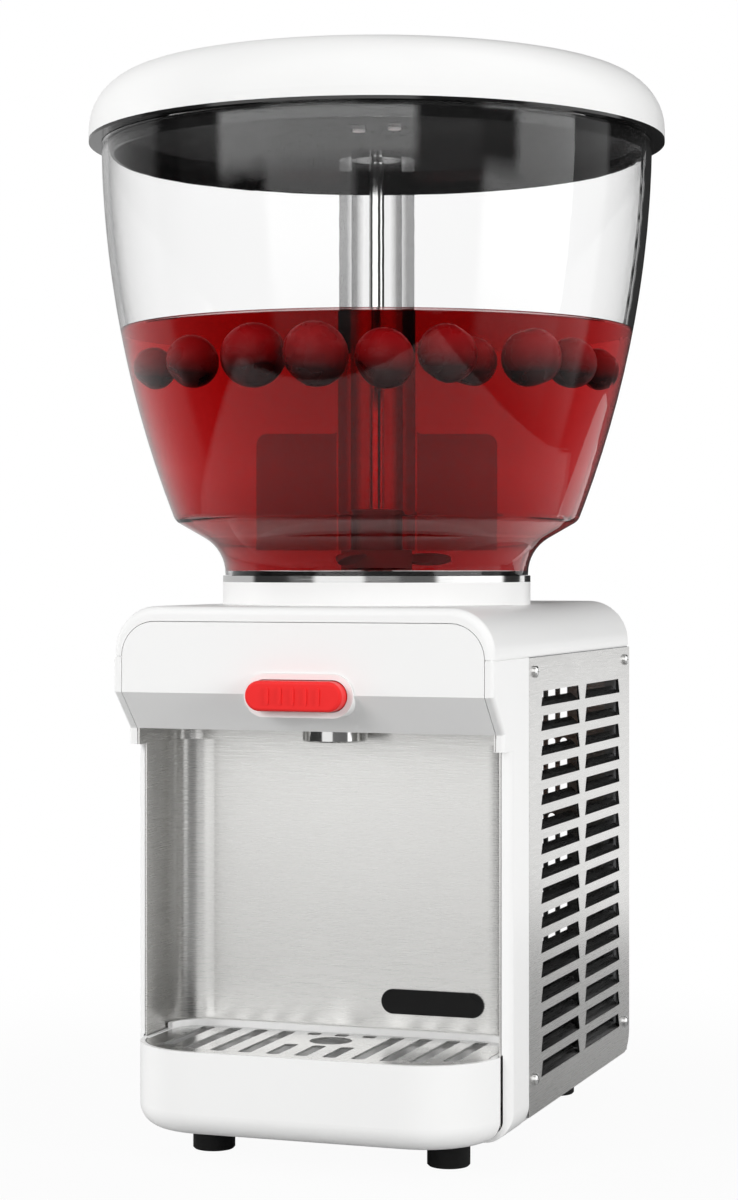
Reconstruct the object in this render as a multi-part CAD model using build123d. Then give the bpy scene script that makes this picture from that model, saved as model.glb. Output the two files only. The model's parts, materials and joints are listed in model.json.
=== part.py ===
from build123d import *
import math
import os

# One-bowl juice dispenser: a refrigerated cabinet with a push tap and a clear round bowl on top.
# Millimetres. X points right, Y back and Z up. The origin is on the floor under the bowl's axis.

# Sheets, walls and clearances
plastic_wall = 3.0
panel_sheet = 1.2
splash_sheet = 1.0
plate_sheet = 1.5
seam_gap = 0.4
slide_gap = 0.3
run_gap = 0.08
press_gap = 0.02
hole_gap = 0.1
overcut = 2.0
join_lap = 1.0

# Heights of the cabinet, from the floor up
foot_height = 27.0
panel_height = 277.0
deck_height = 31.0
collar_height = 14.0
seat_ring_height = 4.0
cheek_drop = 8.0

# Widths and corners of the cabinet
body_width = 240.0
cheek_flange = 5.5
cheek_corner = 8.0
frame_bottom_corner = 16.0
frame_bottom_bar = 5.0
frame_floor_setback = 8.0
deck_corner = 27.0
deck_edge = 5.0
hood_edge = 2.5
deck_boss_depth = 12.0
deck_groove_height = 0.8
deck_groove_depth = 1.2

# Depths of the front, stepping forward from the cold well
band_to_nozzle = 2.0
band_step = 3.0
band_corner = 16.0
splash_corner = 22.6
panel_lead = 14.0
cheek_depth = 40.0
hood_reach = 34.0
lip_reach = 11.0

# Heights of the hood
lip_below_seam = 54.0
lip_height = 10.0
slope_below_seam = 21.0
fascia_above_seam = 21.6
fascia_sheet = 2.5
fascia_margin = 5.7
fascia_corner = 21.0
fascia_ledge = 6.0
ledge_sheet = 2.2

# Rear of the cabinet
back_reach = 183.0
rear_recess = 17.0
pan_setback = 2.0
pan_flange = 18.0
pan_tab_height = 31.0
pan_tab_half = 8.0
plate_flange = 18.0
plate_tongue = 6.0
upright_leg = 10.0

# Slots, louvres and screws of the side panels
slot_pitch = 15.1
slot_height = 9.3
slot_slant = 3.7
slot_columns = 2
slot_column_gap = 13.0
slot_front_margin = 27.0
slot_rear_margin = 27.0
slot_top_margin = 21.4
louvre_reach = 4.5
louvre_rise = 4.5
louvre_sheet = 1.2
louvre_end_gap = 1.0
panel_corner = 15.0
screw_inset = 13.0
screw_top_inset = 9.0
screw_bottom_inset = 21.0
screw_head_radius = 3.5
screw_head_height = 2.2
screw_crown_radius = 2.4
screw_crown_height = 1.3
screw_recess_length = 4.2
screw_recess_width = 0.9
screw_recess_depth = 0.9
screw_radius = 1.8
screw_length = 4.0

# Feet
foot_radius = 13.0
foot_x = 76.0
foot_front_inset = 19.0
foot_rear_inset = 32.0
foot_bore = 6.0
foot_bore_depth = 8.0
foot_bevel = 1.0
foot_screw_radius = 2.5
foot_screw_head = 4.5
foot_screw_head_height = 3.0

# Bowl
bowl_wall = 4.0
bowl_rim_radius = 175.0
bowl_height = 273.0
neck_radius = 96.5
neck_height = 1.0
flare_radius = 26.0
flare_turn = 60.0
shoulder_fillet = 8.0
shoulder_run = 21.7
side_bulge = 10.9

# Lid
lid_radius = 183.0
lid_wall = 3.0
lid_side_height = 37.5
lid_shoulder = 35.0
lid_dome_radius = 1800.0
liner_sheet = 2.0
liner_rise = 12.0
liner_skirt_depth = 8.0
liner_skirt_gap = 1.5
liner_skirt_wall = 2.5
lid_screw_x = 12.0
lid_screw_head = 4.0
lid_screw_head_height = 1.6
lid_screw_radius = 2.0
lid_screw_depth = 10.0
lid_boss_radius = 5.0

# Cold well that fills the bowl's neck
gasket_width = 4.5
well_sheet = 1.5
well_rise = 3.0
well_flange = 8.0
collar_margin = 1.5
collar_bore_gap = 2.0
coil_turns = 3
coil_pitch = 8.0
coil_inner_radius = 42.0
coil_tube_radius = 3.5
foam_core_radius = 30.0

# Stirrer on its spindle
spindle_radius = 4.75
spindle_height = 268.0
spindle_foot_radius = 10.0
spindle_foot_height = 2.0
bush_wall = 2.7
hub_radius = 22.0
hub_height = 14.0
hub_spigot = 24.0
magnet_wall = 8.0
magnet_height = 6.0
leaf_count = 3
leaf_reach = 46.0
leaf_width = 15.0
leaf_sheet = 2.4
leaf_pitch = 32.0
leaf_root_lap = 4.8
paddle_tube_radius = 24.0
paddle_tube_wall = 8.0
paddle_top_gap = 6.0
fin_reach = 74.6
fin_sheet = 4.0
fin_height = 72.0
fin_corner = 7.0
fin_fillet = 4.5
paddle_rest_angle = 20.0

# Drive under the well
drive_magnet_radius = 24.0
drive_magnet_height = 7.5
drive_air_gap = 2.0
drive_hole_radius = 15.0
motor_shaft_radius = 4.0
motor_shaft_depth = 25.0
motor_radius = 30.0
motor_height = 50.0
motor_flange_radius = 36.0
motor_flange_sheet = 3.0

# Tap
button_width = 61.0
button_height = 18.0
button_proud = 11.0
button_below_seam = 21.5
button_depth = 24.0
button_gap = 0.5
button_edge = 2.0
button_rib_count = 5
button_rib_pitch = 8.0
button_rib_width = 2.4
button_rib_length = 10.0
button_rib_height = 0.8
collar_wall = 3.5
collar_proud = 1.5
collar_depth = 16.0
button_travel = 8.0
flow_radius = 4.0
spool_radius = 6.0
spool_waist = 3.0
spool_socket_depth = 12.0
seal_groove = 1.4
seal_width = 2.0
seal_front_gap = 3.0
seal_rear_gap = 1.0
valve_half_width = 17.0
valve_front_length = 20.0
valve_rear_length = 19.0
valve_below_spool = 16.5
valve_neck_radius = 7.5
valve_neck_gap = 2.0
spool_tail = 12.0
spring_wire_radius = 0.7
spring_gap = 1.2
spring_turns = 6
gap_sample_count = 24
nozzle_radius = 20.0
nozzle_height = 14.0
nozzle_spigot_radius = 9.0
nozzle_spigot_length = 9.0
nozzle_mouth_radius = 7.0
nozzle_bevel = 0.8

# Drip tray and grid
tray_reach = 45.0
tray_side_gap = 5.5
tray_height = 51.0
tray_below_pan = 8.0
tray_back_rise = 3.5
tray_corner = 49.0
tray_bottom_edge = 14.0
tray_wall = 3.0
tray_body_gap = 1.0
tray_recess_gap = 0.8
tray_recess_corner = 8.0
grid_sheet = 1.4
grid_depth = 0.2
grid_ledge = 3.0
grid_ledge_height = 3.0
grid_pitch = 17.9
grid_slot_width = 8.4
grid_slot_corner = 2.5
grid_long_columns = 4
grid_split_columns = 3
grid_front_margin = 8.0
grid_rear_margin = 4.0
grid_hole_radius = 13.0
grid_hole_setback = 8.0
grid_front_bridge = 5.0
grid_rear_bridge = 3.0

# Badge
badge_width = 66.0
badge_height = 15.3
badge_sheet = 1.2
badge_margin = 3.0
badge_above_pan = 63.5

# Cooling unit on the floor pan
compressor_fan_gap = 4.0
compressor_rear_gap = 34.0
compressor_radius = 48.0
compressor_height = 130.0
compressor_plate = 3.0
compressor_dome = 22.0
compressor_mount_height = 9.0
compressor_mount_radius = 8.0
compressor_mount_x = 42.0
compressor_mount_y = 44.0
compressor_stub_radius = 4.0
compressor_stub_x = 20.0
compressor_stub_height = 14.0
relay_width = 34.0
relay_depth = 20.0
relay_height = 46.0
relay_lift = 48.0
relay_proud = 10.0
condenser_side_gap = 6.0
condenser_depth = 28.0
condenser_length = 150.0
condenser_height = 168.0
condenser_core = 8.0
condenser_fins = 21
condenser_fin_sheet = 2.0
condenser_rear_gap = 28.0
shroud_gap = 4.0
shroud_sheet = 2.0
shroud_ring_depth = 24.0
shroud_ring_wall = 2.5
fan_radius = 66.0
fan_tip_gap = 4.0
fan_hub_radius = 18.0
fan_hub_length = 14.0
fan_blades = 5
fan_blade_sheet = 1.8
fan_blade_chord = 34.0
fan_blade_pitch = 28.0
fan_shaft_radius = 3.0
fan_shaft_depth = 13.0
fan_motor_radius = 25.0
fan_motor_length = 26.0
strut_count = 3
strut_width = 8.0
strut_sheet = 3.0
drier_radius = 9.0
drier_length = 70.0
drier_x = -40.0
drier_y = -14.0
pipe_radius = 3.0
pipe_bend = 12.0
pipe_rise = 24.0

# Controls on the rear panel
grille_columns = 12
grille_pitch = 8.5
grille_slot_width = 5.0
grille_slot_height = 42.0
grille_rows = 4
grille_row_pitch = 52.0
grille_side_gap = 42.0
control_side_gap = 42.0
switch_width = 21.0
switch_height = 17.0
switch_bezel = 2.0
switch_depth = 18.0
switch_wall = 2.5
switch_above_pan = 245.0
switch_spacing = 34.0
rocker_radius = 6.4
rocker_throw = 12.0
rocker_back = 3.2
rocker_dish = 1.6
rocker_dish_radius = 19.2
knob_radius = 14.0
knob_length = 12.0
knob_shaft_radius = 3.0
knob_shaft_length = 6.0
knob_above_pan = 160.0
knob_grip_count = 18
knob_grip_radius = 1.5
knob_grip_offset = 0.75
knob_skirt = 3.0
knob_pointer_width = 3.0
knob_pointer_length = 11.2
knob_pointer_height = 2.0
thermostat_radius = 15.0
thermostat_depth = 18.0
gland_radius = 9.5
gland_flange = 5.0
gland_neck_radius = 8.0
gland_length = 12.0
gland_tail_radius = 6.4
gland_tail = 8.0
gland_bore = 4.0
gland_above_pan = 40.0

# Places worked out from the sizes above
half_width = body_width / 2
pan_z = foot_height
pan_top_z = pan_z + plate_sheet
base_z = pan_z - cheek_drop
seam_z = pan_z + panel_height
deck_top_z = seam_z + deck_height
collar_top_z = deck_top_z + collar_height
seat_top_z = collar_top_z + seat_ring_height
bowl_base_z = seat_top_z + slide_gap
bowl_top_z = bowl_base_z + bowl_height
neck_bore = neck_radius - bowl_wall
gasket_outer = neck_bore - slide_gap
well_radius = neck_radius - bowl_wall - gasket_width
well_bore = well_radius - well_sheet
well_top_z = seat_top_z + well_rise
well_under_z = well_top_z - well_sheet
boss_z = deck_top_z - deck_boss_depth
collar_radius = neck_radius + collar_margin
collar_bore = well_radius + collar_bore_gap
back_y = back_reach
rear_panel_y = back_y - rear_recess
nozzle_y = -(well_bore - valve_neck_radius - valve_neck_gap)
band_y = nozzle_y + nozzle_radius + band_to_nozzle
splash_y = band_y + band_step
panel_front_y = splash_y - panel_lead
cheek_front_y = panel_front_y - cheek_depth
hood_front_y = cheek_front_y - hood_reach
lip_y = cheek_front_y - lip_reach
frame_rear_y = splash_y + splash_sheet
lip_z = seam_z - lip_below_seam
slope_low_z = lip_z + lip_height
slope_top_z = seam_z - slope_below_seam
fascia_top_z = seam_z + fascia_above_seam
fascia_half = half_width - fascia_margin
bay_half = half_width - cheek_flange
splash_half = bay_half - seam_gap
badge_x = splash_half - splash_sheet - splash_corner - badge_margin - badge_width / 2
pan_half = half_width - panel_sheet
pan_back_y = back_y - pan_setback
plate_front_y = frame_rear_y + seam_gap
plate_z = seam_z - plate_sheet
slot_rows = 1 + int((panel_height - slot_top_margin - slot_height - louvre_sheet - pan_flange) / slot_pitch)
slot_room = back_y - slot_rear_margin - panel_front_y - slot_front_margin
slot_length = (slot_room - (slot_columns - 1) * slot_column_gap) / slot_columns
screw_front_y = panel_front_y + screw_inset
screw_rear_y = back_y - screw_inset
screw_top_z = seam_z - screw_top_inset
screw_bottom_z = pan_z + screw_bottom_inset
foot_front_y = cheek_front_y + foot_front_inset
foot_rear_y = back_y - foot_rear_inset
foot_places = [(x, y) for y in (foot_front_y, foot_rear_y) for x in (-foot_x, foot_x)]
button_z = seam_z - button_below_seam
button_front_y = hood_front_y - button_proud
button_rear_y = button_front_y + button_depth
valve_front_y = nozzle_y - valve_front_length
valve_rear_y = nozzle_y + valve_rear_length
valve_low_z = button_z - valve_below_spool
bush_radius = spindle_radius + run_gap + bush_wall
hub_low_z = well_top_z + spindle_foot_height + slide_gap
hub_top_z = hub_low_z + hub_height
tube_bore = paddle_tube_radius - paddle_tube_wall
spindle_top_z = well_top_z + spindle_height
paddle_top_z = spindle_top_z - paddle_top_gap
liner_z = bowl_top_z + slide_gap
lid_z = liner_z + liner_sheet
lid_top_z = lid_z + lid_side_height + lid_dome_radius - math.sqrt(lid_dome_radius**2 - lid_radius**2)
liner_inner = bowl_rim_radius - bowl_wall - liner_skirt_gap
liner_bore = liner_inner - liner_skirt_wall
liner_dome_radius = (liner_bore**2 + liner_rise**2) / (2 * liner_rise)
tray_low_z = pan_z - tray_below_pan
tray_top_z = tray_low_z + tray_height
tray_front_y = cheek_front_y - tray_reach
tray_step_y = cheek_front_y - tray_body_gap
tray_rear_y = splash_y - tray_body_gap
tray_half = half_width - tray_side_gap
tray_rear_half = splash_half - splash_sheet - tray_body_gap
grid_top_z = tray_top_z - grid_depth
grid_low_z = grid_top_z - grid_sheet
grid_hole_y = nozzle_y - grid_hole_setback
condenser_front_y = rear_panel_y - condenser_rear_gap - condenser_length
condenser_x0 = -half_width + condenser_side_gap + panel_sheet
condenser_x1 = condenser_x0 + condenser_depth
condenser_low_z = pan_top_z
condenser_top_z = condenser_low_z + condenser_height
fan_y = condenser_front_y + condenser_length / 2
fan_z = condenser_low_z + condenser_height / 2
shroud_x0 = condenser_x1 + shroud_gap
shroud_x1 = shroud_x0 + shroud_ring_depth
strut_x1 = shroud_x1 + strut_sheet
compressor_x = strut_x1 + fan_motor_length + compressor_fan_gap + compressor_radius
compressor_y = rear_panel_y - compressor_rear_gap - compressor_mount_y - compressor_mount_radius
compressor_low_z = pan_top_z + compressor_mount_height
compressor_top_z = compressor_low_z + compressor_plate + compressor_height
stub_top_z = compressor_top_z + compressor_stub_height
rear_face_y = rear_panel_y + panel_sheet
control_x = control_side_gap - half_width
cooling_z = pan_z + switch_above_pan
stirring_z = cooling_z - switch_spacing
knob_z = pan_z + knob_above_pan
gland_z = pan_z + gland_above_pan
coil_outer_radius = coil_inner_radius + coil_turns * coil_pitch
coil_z = well_under_z - slide_gap - coil_tube_radius


def block(x0, x1, y0, y1, z0, z1):
    """Box between two corners."""
    middle = Pos((x0 + x1) / 2, (y0 + y1) / 2, (z0 + z1) / 2)
    return middle * Box(x1 - x0, y1 - y0, z1 - z0)


def post(radius, z0, z1, x=0.0, y=0.0):
    """Upright cylinder."""
    return Pos(x, y, (z0 + z1) / 2) * Cylinder(radius, z1 - z0)


def sleeve(outer, inner, z0, z1, x=0.0, y=0.0):
    """Upright ring."""
    return post(outer, z0, z1, x, y) - post(inner, z0 - overcut, z1 + overcut, x, y)


def bar_x(radius, x0, x1, y, z):
    """Cylinder along X."""
    return Pos((x0 + x1) / 2, y, z) * Rot(0, 90, 0) * Cylinder(radius, x1 - x0)


def bar_y(radius, y0, y1, x, z):
    """Cylinder along Y."""
    return Pos(x, (y0 + y1) / 2, z) * Rot(90, 0, 0) * Cylinder(radius, y1 - y0)


def turned(corners):
    """Solid of revolution about Z from (radius, height) corners."""
    return revolve(Plane.XZ * make_face(Polyline(*corners, close=True)), Axis.Z)


def across(corners, half):
    """Side outline of (y, z) corners drawn out to both sides."""
    return extrude(Plane.YZ * make_face(Polyline(*corners, close=True)), half, both=True)


def from_front(sketch, y0, y1):
    """Front view sketch (x, z) drawn from y0 back to y1."""
    return extrude(Plane.XZ.offset(-y1) * sketch, y1 - y0)


def upward(sketch, z0, z1):
    """Plan sketch drawn from z0 up to z1."""
    return extrude(Pos(0, 0, z0) * sketch, z1 - z0)


def both_sides(shape):
    """A shape and its mirror image in the middle plane."""
    return [shape, mirror(shape, Plane.YZ)]


def floor_rounded(half, low, high, radius):
    """Rectangle sketch with its two lowest corners rounded."""
    sheet = Pos(0, (low + high) / 2) * Rectangle(2 * half, high - low)
    return fillet(sheet.vertices().group_by(Axis.Y)[0], radius)


def top_rounded(half, low, high, radius):
    """Rectangle sketch with its two highest corners rounded."""
    sheet = Pos(0, (low + high) / 2) * Rectangle(2 * half, high - low)
    return fillet(sheet.vertices().group_by(Axis.Y)[-1], radius)


def hood_bend(inset):
    """Corners of the hood's bent front, at a depth behind its outer face."""
    run = lip_y - hood_front_y
    drop = slope_top_z - slope_low_z
    level = math.hypot(run, drop) / drop
    bend_z = slope_top_z + inset * (level - 1) * drop / run
    return [(hood_front_y + inset, bend_z), (lip_y + inset * level, slope_low_z)]


def fascia_outline(grow, low):
    """Front view of the fascia, grown by a gap, with its sides drawn down to a level."""
    return top_rounded(fascia_half + grow, low, fascia_top_z + grow, fascia_corner + grow)


def base_pan():
    """Floor pan of folded sheet, which carries the feet, the uprights and the cooling unit."""
    corner = frame_bottom_corner - plastic_wall
    rise = base_z + frame_bottom_corner - pan_z
    front_half = half_width - frame_bottom_corner + math.sqrt(corner**2 - rise**2) - seam_gap
    pan = block(-pan_half, pan_half, panel_front_y + seam_gap, pan_back_y, pan_z, pan_top_z)
    pan += block(-front_half, front_half, cheek_front_y + frame_floor_setback, panel_front_y + overcut,
                 pan_z, pan_top_z)
    flange = block(pan_half - plate_sheet, pan_half, panel_front_y + seam_gap, pan_back_y,
                   pan_z, pan_z + pan_flange)
    for y in (screw_front_y, screw_rear_y):
        flange += block(pan_half - plate_sheet, pan_half, y - pan_tab_half, y + pan_tab_half,
                        pan_z, pan_z + pan_tab_height)
    for side in both_sides(flange):
        pan += side
    for x, y in foot_places:
        pan -= post(foot_screw_radius + hole_gap, pan_z - overcut, pan_top_z + overcut, x, y)
    for y in (screw_front_y, screw_rear_y):
        pan -= bar_x(screw_radius + hole_gap, -half_width, half_width, y, screw_bottom_z)
    return pan


def rubber_feet():
    """Four round rubber feet with a counterbore for their screws."""
    hole = foot_screw_radius + hole_gap
    foot = turned([
        (foot_bore, 0), (foot_radius - foot_bevel, 0), (foot_radius, foot_bevel), (foot_radius, foot_height),
        (hole, foot_height), (hole, foot_bore_depth), (foot_bore, foot_bore_depth),
    ])
    return [Pos(x, y) * foot for x, y in foot_places]


def foot_screws():
    """Screws that hold the feet to the floor pan."""
    low = foot_bore_depth - foot_screw_head_height
    screw = post(foot_screw_head, low, foot_bore_depth) + post(foot_screw_radius, low, pan_top_z)
    return [Pos(x, y) * screw for x, y in foot_places]


def frame_uprights():
    """Four angle uprights between the floor pan and the support plate."""
    outer = pan_half - plate_sheet
    inner = outer - upright_leg
    rear = block(outer - plate_sheet, outer, rear_panel_y - upright_leg, rear_panel_y, pan_top_z, plate_z)
    rear += block(inner, outer, rear_panel_y - plate_sheet, rear_panel_y, pan_top_z, plate_z)
    for z in rear_screw_heights():
        rear -= bar_y(screw_radius + hole_gap, rear_panel_y - upright_leg, rear_panel_y, rear_screw_x(), z)
    front = block(outer - plate_sheet, outer, plate_front_y, plate_front_y + upright_leg, pan_top_z, plate_z)
    front += block(inner, outer, plate_front_y, plate_front_y + plate_sheet, pan_top_z, plate_z)
    return both_sides(rear) + both_sides(front)


def rear_screw_x():
    """Distance of the rear panel's screws from the middle."""
    return pan_half - plate_sheet - upright_leg / 2


def rear_screw_heights():
    """Heights of the rear panel's screws."""
    return (screw_bottom_z, (screw_bottom_z + screw_top_z) / 2, screw_top_z)


def support_plate():
    """Folded plate under the deck, which carries the well's foam and the stirring motor."""
    plate = block(-pan_half, pan_half, plate_front_y, pan_back_y, plate_z, seam_z)
    flange = block(pan_half - plate_sheet, pan_half, panel_front_y + seam_gap, pan_back_y,
                   seam_z - plate_flange, seam_z)
    for side in both_sides(flange):
        plate += side
    plate += block(-valve_half_width, valve_half_width, valve_rear_y - plate_tongue, plate_front_y + overcut,
                   plate_z, seam_z)
    plate -= post(drive_hole_radius, plate_z - overcut, seam_z + overcut)
    for x in (coil_inner_radius, coil_outer_radius):
        plate -= post(pipe_radius + slide_gap, plate_z - overcut, seam_z + overcut, x)
    for y in (screw_front_y, screw_rear_y):
        plate -= bar_x(screw_radius + hole_gap, -half_width, half_width, y, screw_top_z)
    return plate


def front_frame():
    """White moulding with the two cheeks of the cup bay and the sides of the hood."""
    back = panel_front_y
    cheeks = Pos(0, (cheek_front_y + back) / 2) * Rectangle(body_width, back - cheek_front_y)
    cheeks = fillet(cheeks.vertices().group_by(Axis.Y)[0], cheek_corner)
    shell = upward(cheeks, base_z, lip_z)
    shell &= from_front(floor_rounded(half_width, base_z, seam_z, frame_bottom_corner), cheek_front_y, back)
    hood = across(
        [(back, lip_z), (lip_y, lip_z), (lip_y, slope_low_z), (hood_front_y, slope_top_z),
         (hood_front_y, seam_z), (back, seam_z)], half_width)
    corners = hood.edges().filter_by(lambda edge: abs(edge.center().X) > half_width - hole_gap)
    corners = corners.filter_by(lambda edge: edge.center().Y < lip_y + hole_gap)
    corners = corners.filter_by(lambda edge: edge.center().Z > lip_z + hole_gap)
    shell += fillet(corners, hood_edge)
    inner_half = half_width - plastic_wall
    bend, low = hood_bend(plastic_wall)
    hollow = from_front(
        floor_rounded(inner_half, base_z + plastic_wall, seam_z, frame_bottom_corner - plastic_wall),
        cheek_front_y + plastic_wall, back + overcut)
    hollow += across(
        [(back + overcut, lip_z + plastic_wall), (lip_y + plastic_wall, lip_z + plastic_wall),
         (lip_y + plastic_wall, slope_low_z), low, bend, (bend[0], seam_z + overcut),
         (back + overcut, seam_z + overcut)],
        inner_half)
    shell -= hollow
    shell -= block(-bay_half, bay_half, hood_front_y, cheek_front_y + plastic_wall + overcut,
                   tray_top_z, slope_low_z)
    tray_recess = floor_rounded(tray_half + tray_recess_gap, base_z + frame_bottom_bar,
                                tray_top_z + tray_body_gap, tray_recess_corner)
    shell -= from_front(tray_recess, cheek_front_y - overcut, cheek_front_y + plastic_wall + overcut)
    shell -= from_front(
        fascia_outline(seam_gap, slope_low_z - overcut), hood_front_y - overcut, low[0] + overcut)
    behind = fascia_sheet + seam_gap
    front_bend, front_low = hood_bend(behind)
    back_bend, back_low = hood_bend(behind + ledge_sheet)
    ledge = across(
        [(front_bend[0], seam_z), front_bend, front_low, back_low, back_bend, (back_bend[0], seam_z)],
        half_width)
    ledge -= from_front(
        fascia_outline(-fascia_ledge, slope_low_z - overcut), hood_front_y, lip_y + half_width)
    lap_half = inner_half + join_lap
    shell += ledge & block(-lap_half, lap_half, hood_front_y, 0, lip_z, seam_z)
    open_half = half_width - frame_bottom_corner
    shell -= block(-open_half, open_half, cheek_front_y + plastic_wall, back + overcut,
                   base_z - overcut, pan_z)
    floor = block(
        -lap_half, lap_half, cheek_front_y + frame_floor_setback, splash_y, pan_z - plastic_wall, pan_z)
    floor &= from_front(
        floor_rounded(half_width, base_z, seam_z, frame_bottom_corner), cheek_front_y, splash_y)
    for x, y in foot_places[:2]:
        floor -= post(foot_radius + slide_gap, base_z, seam_z, x, y)
    shell += floor
    return shell


def bay_plan(front_y, rear_y, half, corner):
    """Plan of the cup bay with rounded rear corners."""
    plan = Pos(0, (front_y + rear_y) / 2) * Rectangle(2 * half, rear_y - front_y)
    return fillet(plan.vertices().group_by(Axis.Y)[-1], corner)


def bay_outer(front_y, face_y, corner):
    """Outer plan of a bay sheet whose front face is at face_y."""
    return bay_plan(front_y, face_y + splash_sheet, splash_half, corner + splash_sheet)


def bay_inner(front_y, face_y, corner):
    """Inner plan of a bay sheet, open to the front."""
    return bay_plan(front_y - overcut, face_y, splash_half - splash_sheet, corner)


def splash_panel():
    """Stainless back and side wings of the cup bay."""
    front = cheek_front_y + seam_gap
    sheet = bay_outer(front, splash_y, splash_corner) - bay_inner(front, splash_y, splash_corner)
    return upward(sheet, pan_top_z, lip_z)


def hood_band():
    """Stainless band around the nozzle, a step in front of the splash panel, and its closing flange."""
    front = lip_y + seam_gap
    inner = bay_inner(front, band_y, band_corner)
    band = upward(bay_outer(front, band_y, band_corner) - inner, lip_z, slope_low_z)
    return band + upward(bay_outer(front, splash_y, band_corner) - inner, lip_z, lip_z + splash_sheet)


def slot_places():
    """Front end and lower edge of each slot in the side panel's columns."""
    fronts = [panel_front_y + slot_front_margin + column * (slot_length + slot_column_gap)
              for column in range(slot_columns)]
    lows = [seam_z - slot_top_margin - slot_height - row * slot_pitch for row in range(slot_rows)]
    return [(y, z) for y in fronts for z in lows]


def panel_slot(y0, z0):
    """Trapezoid slot, drawn in the side panel's (y, z) plane."""
    y1 = y0 + slot_length
    z1 = z0 + slot_height
    return make_face(Polyline(
        (y0, z0), (y1, z0), (y1 - slot_slant, z1), (y0 + slot_slant, z1), close=True))


def panel_louvre(y0, z0):
    """Flap at a slot's lower edge, bent inward and up."""
    root = pan_half + panel_sheet / 2
    tip = pan_half - louvre_reach
    tip_z = z0 + louvre_rise
    flap = make_face(Polyline(
        (root, z0 - louvre_sheet), (root, z0), (tip, tip_z), (tip, tip_z - louvre_sheet), close=True))
    return from_front(flap, y0 + louvre_end_gap, y0 + slot_length - louvre_end_gap)


def side_panel():
    """Stainless side panel on the right, with its louvres."""
    front = panel_front_y + seam_gap
    top = seam_z - seam_gap
    sheet = Pos((front + back_y) / 2, (pan_z + top) / 2) * Rectangle(back_y - front, top - pan_z)
    corner = sheet.vertices().sort_by(Axis.Y)[:2].sort_by(Axis.X)[-1]
    sheet = fillet(corner, panel_corner)
    sheet -= [panel_slot(y, z) for y, z in slot_places()]
    for y in (screw_front_y, screw_rear_y):
        for z in (screw_bottom_z, screw_top_z):
            sheet -= Pos(y, z) * Circle(screw_radius + hole_gap)
    panel = extrude(Plane.YZ.offset(pan_half) * sheet, panel_sheet)
    return panel + [panel_louvre(y, z) for y, z in slot_places()]


def pan_head_screw(length):
    """Pan-head screw along +Z with the underside of its head at zero."""
    head = turned([
        (0, 0), (screw_head_radius, 0), (screw_head_radius, screw_crown_height),
        (screw_crown_radius, screw_head_height), (0, screw_head_height),
    ])
    recess = Box(screw_recess_length, screw_recess_width, 2 * screw_recess_depth)
    recess += Rot(0, 0, 90) * recess
    head -= Pos(0, 0, screw_head_height) * recess
    return head + post(screw_radius, -length, screw_head_height - screw_recess_depth)


def side_panel_screws():
    """Pan-head screws of both side panels."""
    screw = Rot(0, 90, 0) * pan_head_screw(screw_length)
    screws = []
    for y in (screw_front_y, screw_rear_y):
        for z in (screw_bottom_z, screw_top_z):
            screws += both_sides(Pos(half_width, y, z) * screw)
    return screws


def rear_panel():
    """Rear panel, sunk into the cabinet, with its grille and the holes for the controls."""
    half = pan_half - plate_sheet - seam_gap
    low = pan_top_z + seam_gap
    high = plate_z - seam_gap
    sheet = Pos(0, (low + high) / 2) * Rectangle(2 * half, high - low)
    first_x = half_width - grille_side_gap - (grille_columns - 1) * grille_pitch
    first_z = high - screw_top_inset - grille_slot_height / 2
    slot = Rot(0, 0, 90) * SlotOverall(grille_slot_height, grille_slot_width)
    places = [(first_x + column * grille_pitch, first_z - row * grille_row_pitch)
              for column in range(grille_columns) for row in range(grille_rows)]
    sheet -= [Pos(x, z) * slot for x, z in places]
    for z in (cooling_z, stirring_z):
        sheet -= Pos(control_x, z) * Rectangle(switch_width - switch_bezel, switch_height - switch_bezel)
    sheet -= Pos(control_x, knob_z) * Circle(knob_shaft_radius + slide_gap)
    sheet -= Pos(control_x, gland_z) * Circle(gland_tail_radius + hole_gap)
    for x in (-rear_screw_x(), rear_screw_x()):
        for z in rear_screw_heights():
            sheet -= Pos(x, z) * Circle(screw_radius + hole_gap)
    return from_front(sheet, rear_panel_y, rear_face_y)


def rear_panel_screws():
    """Pan-head screws of the rear panel."""
    screw = Rot(-90, 0, 0) * pan_head_screw(screw_length)
    sides = (-rear_screw_x(), rear_screw_x())
    return [Pos(x, rear_face_y, z) * screw for x in sides for z in rear_screw_heights()]


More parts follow.
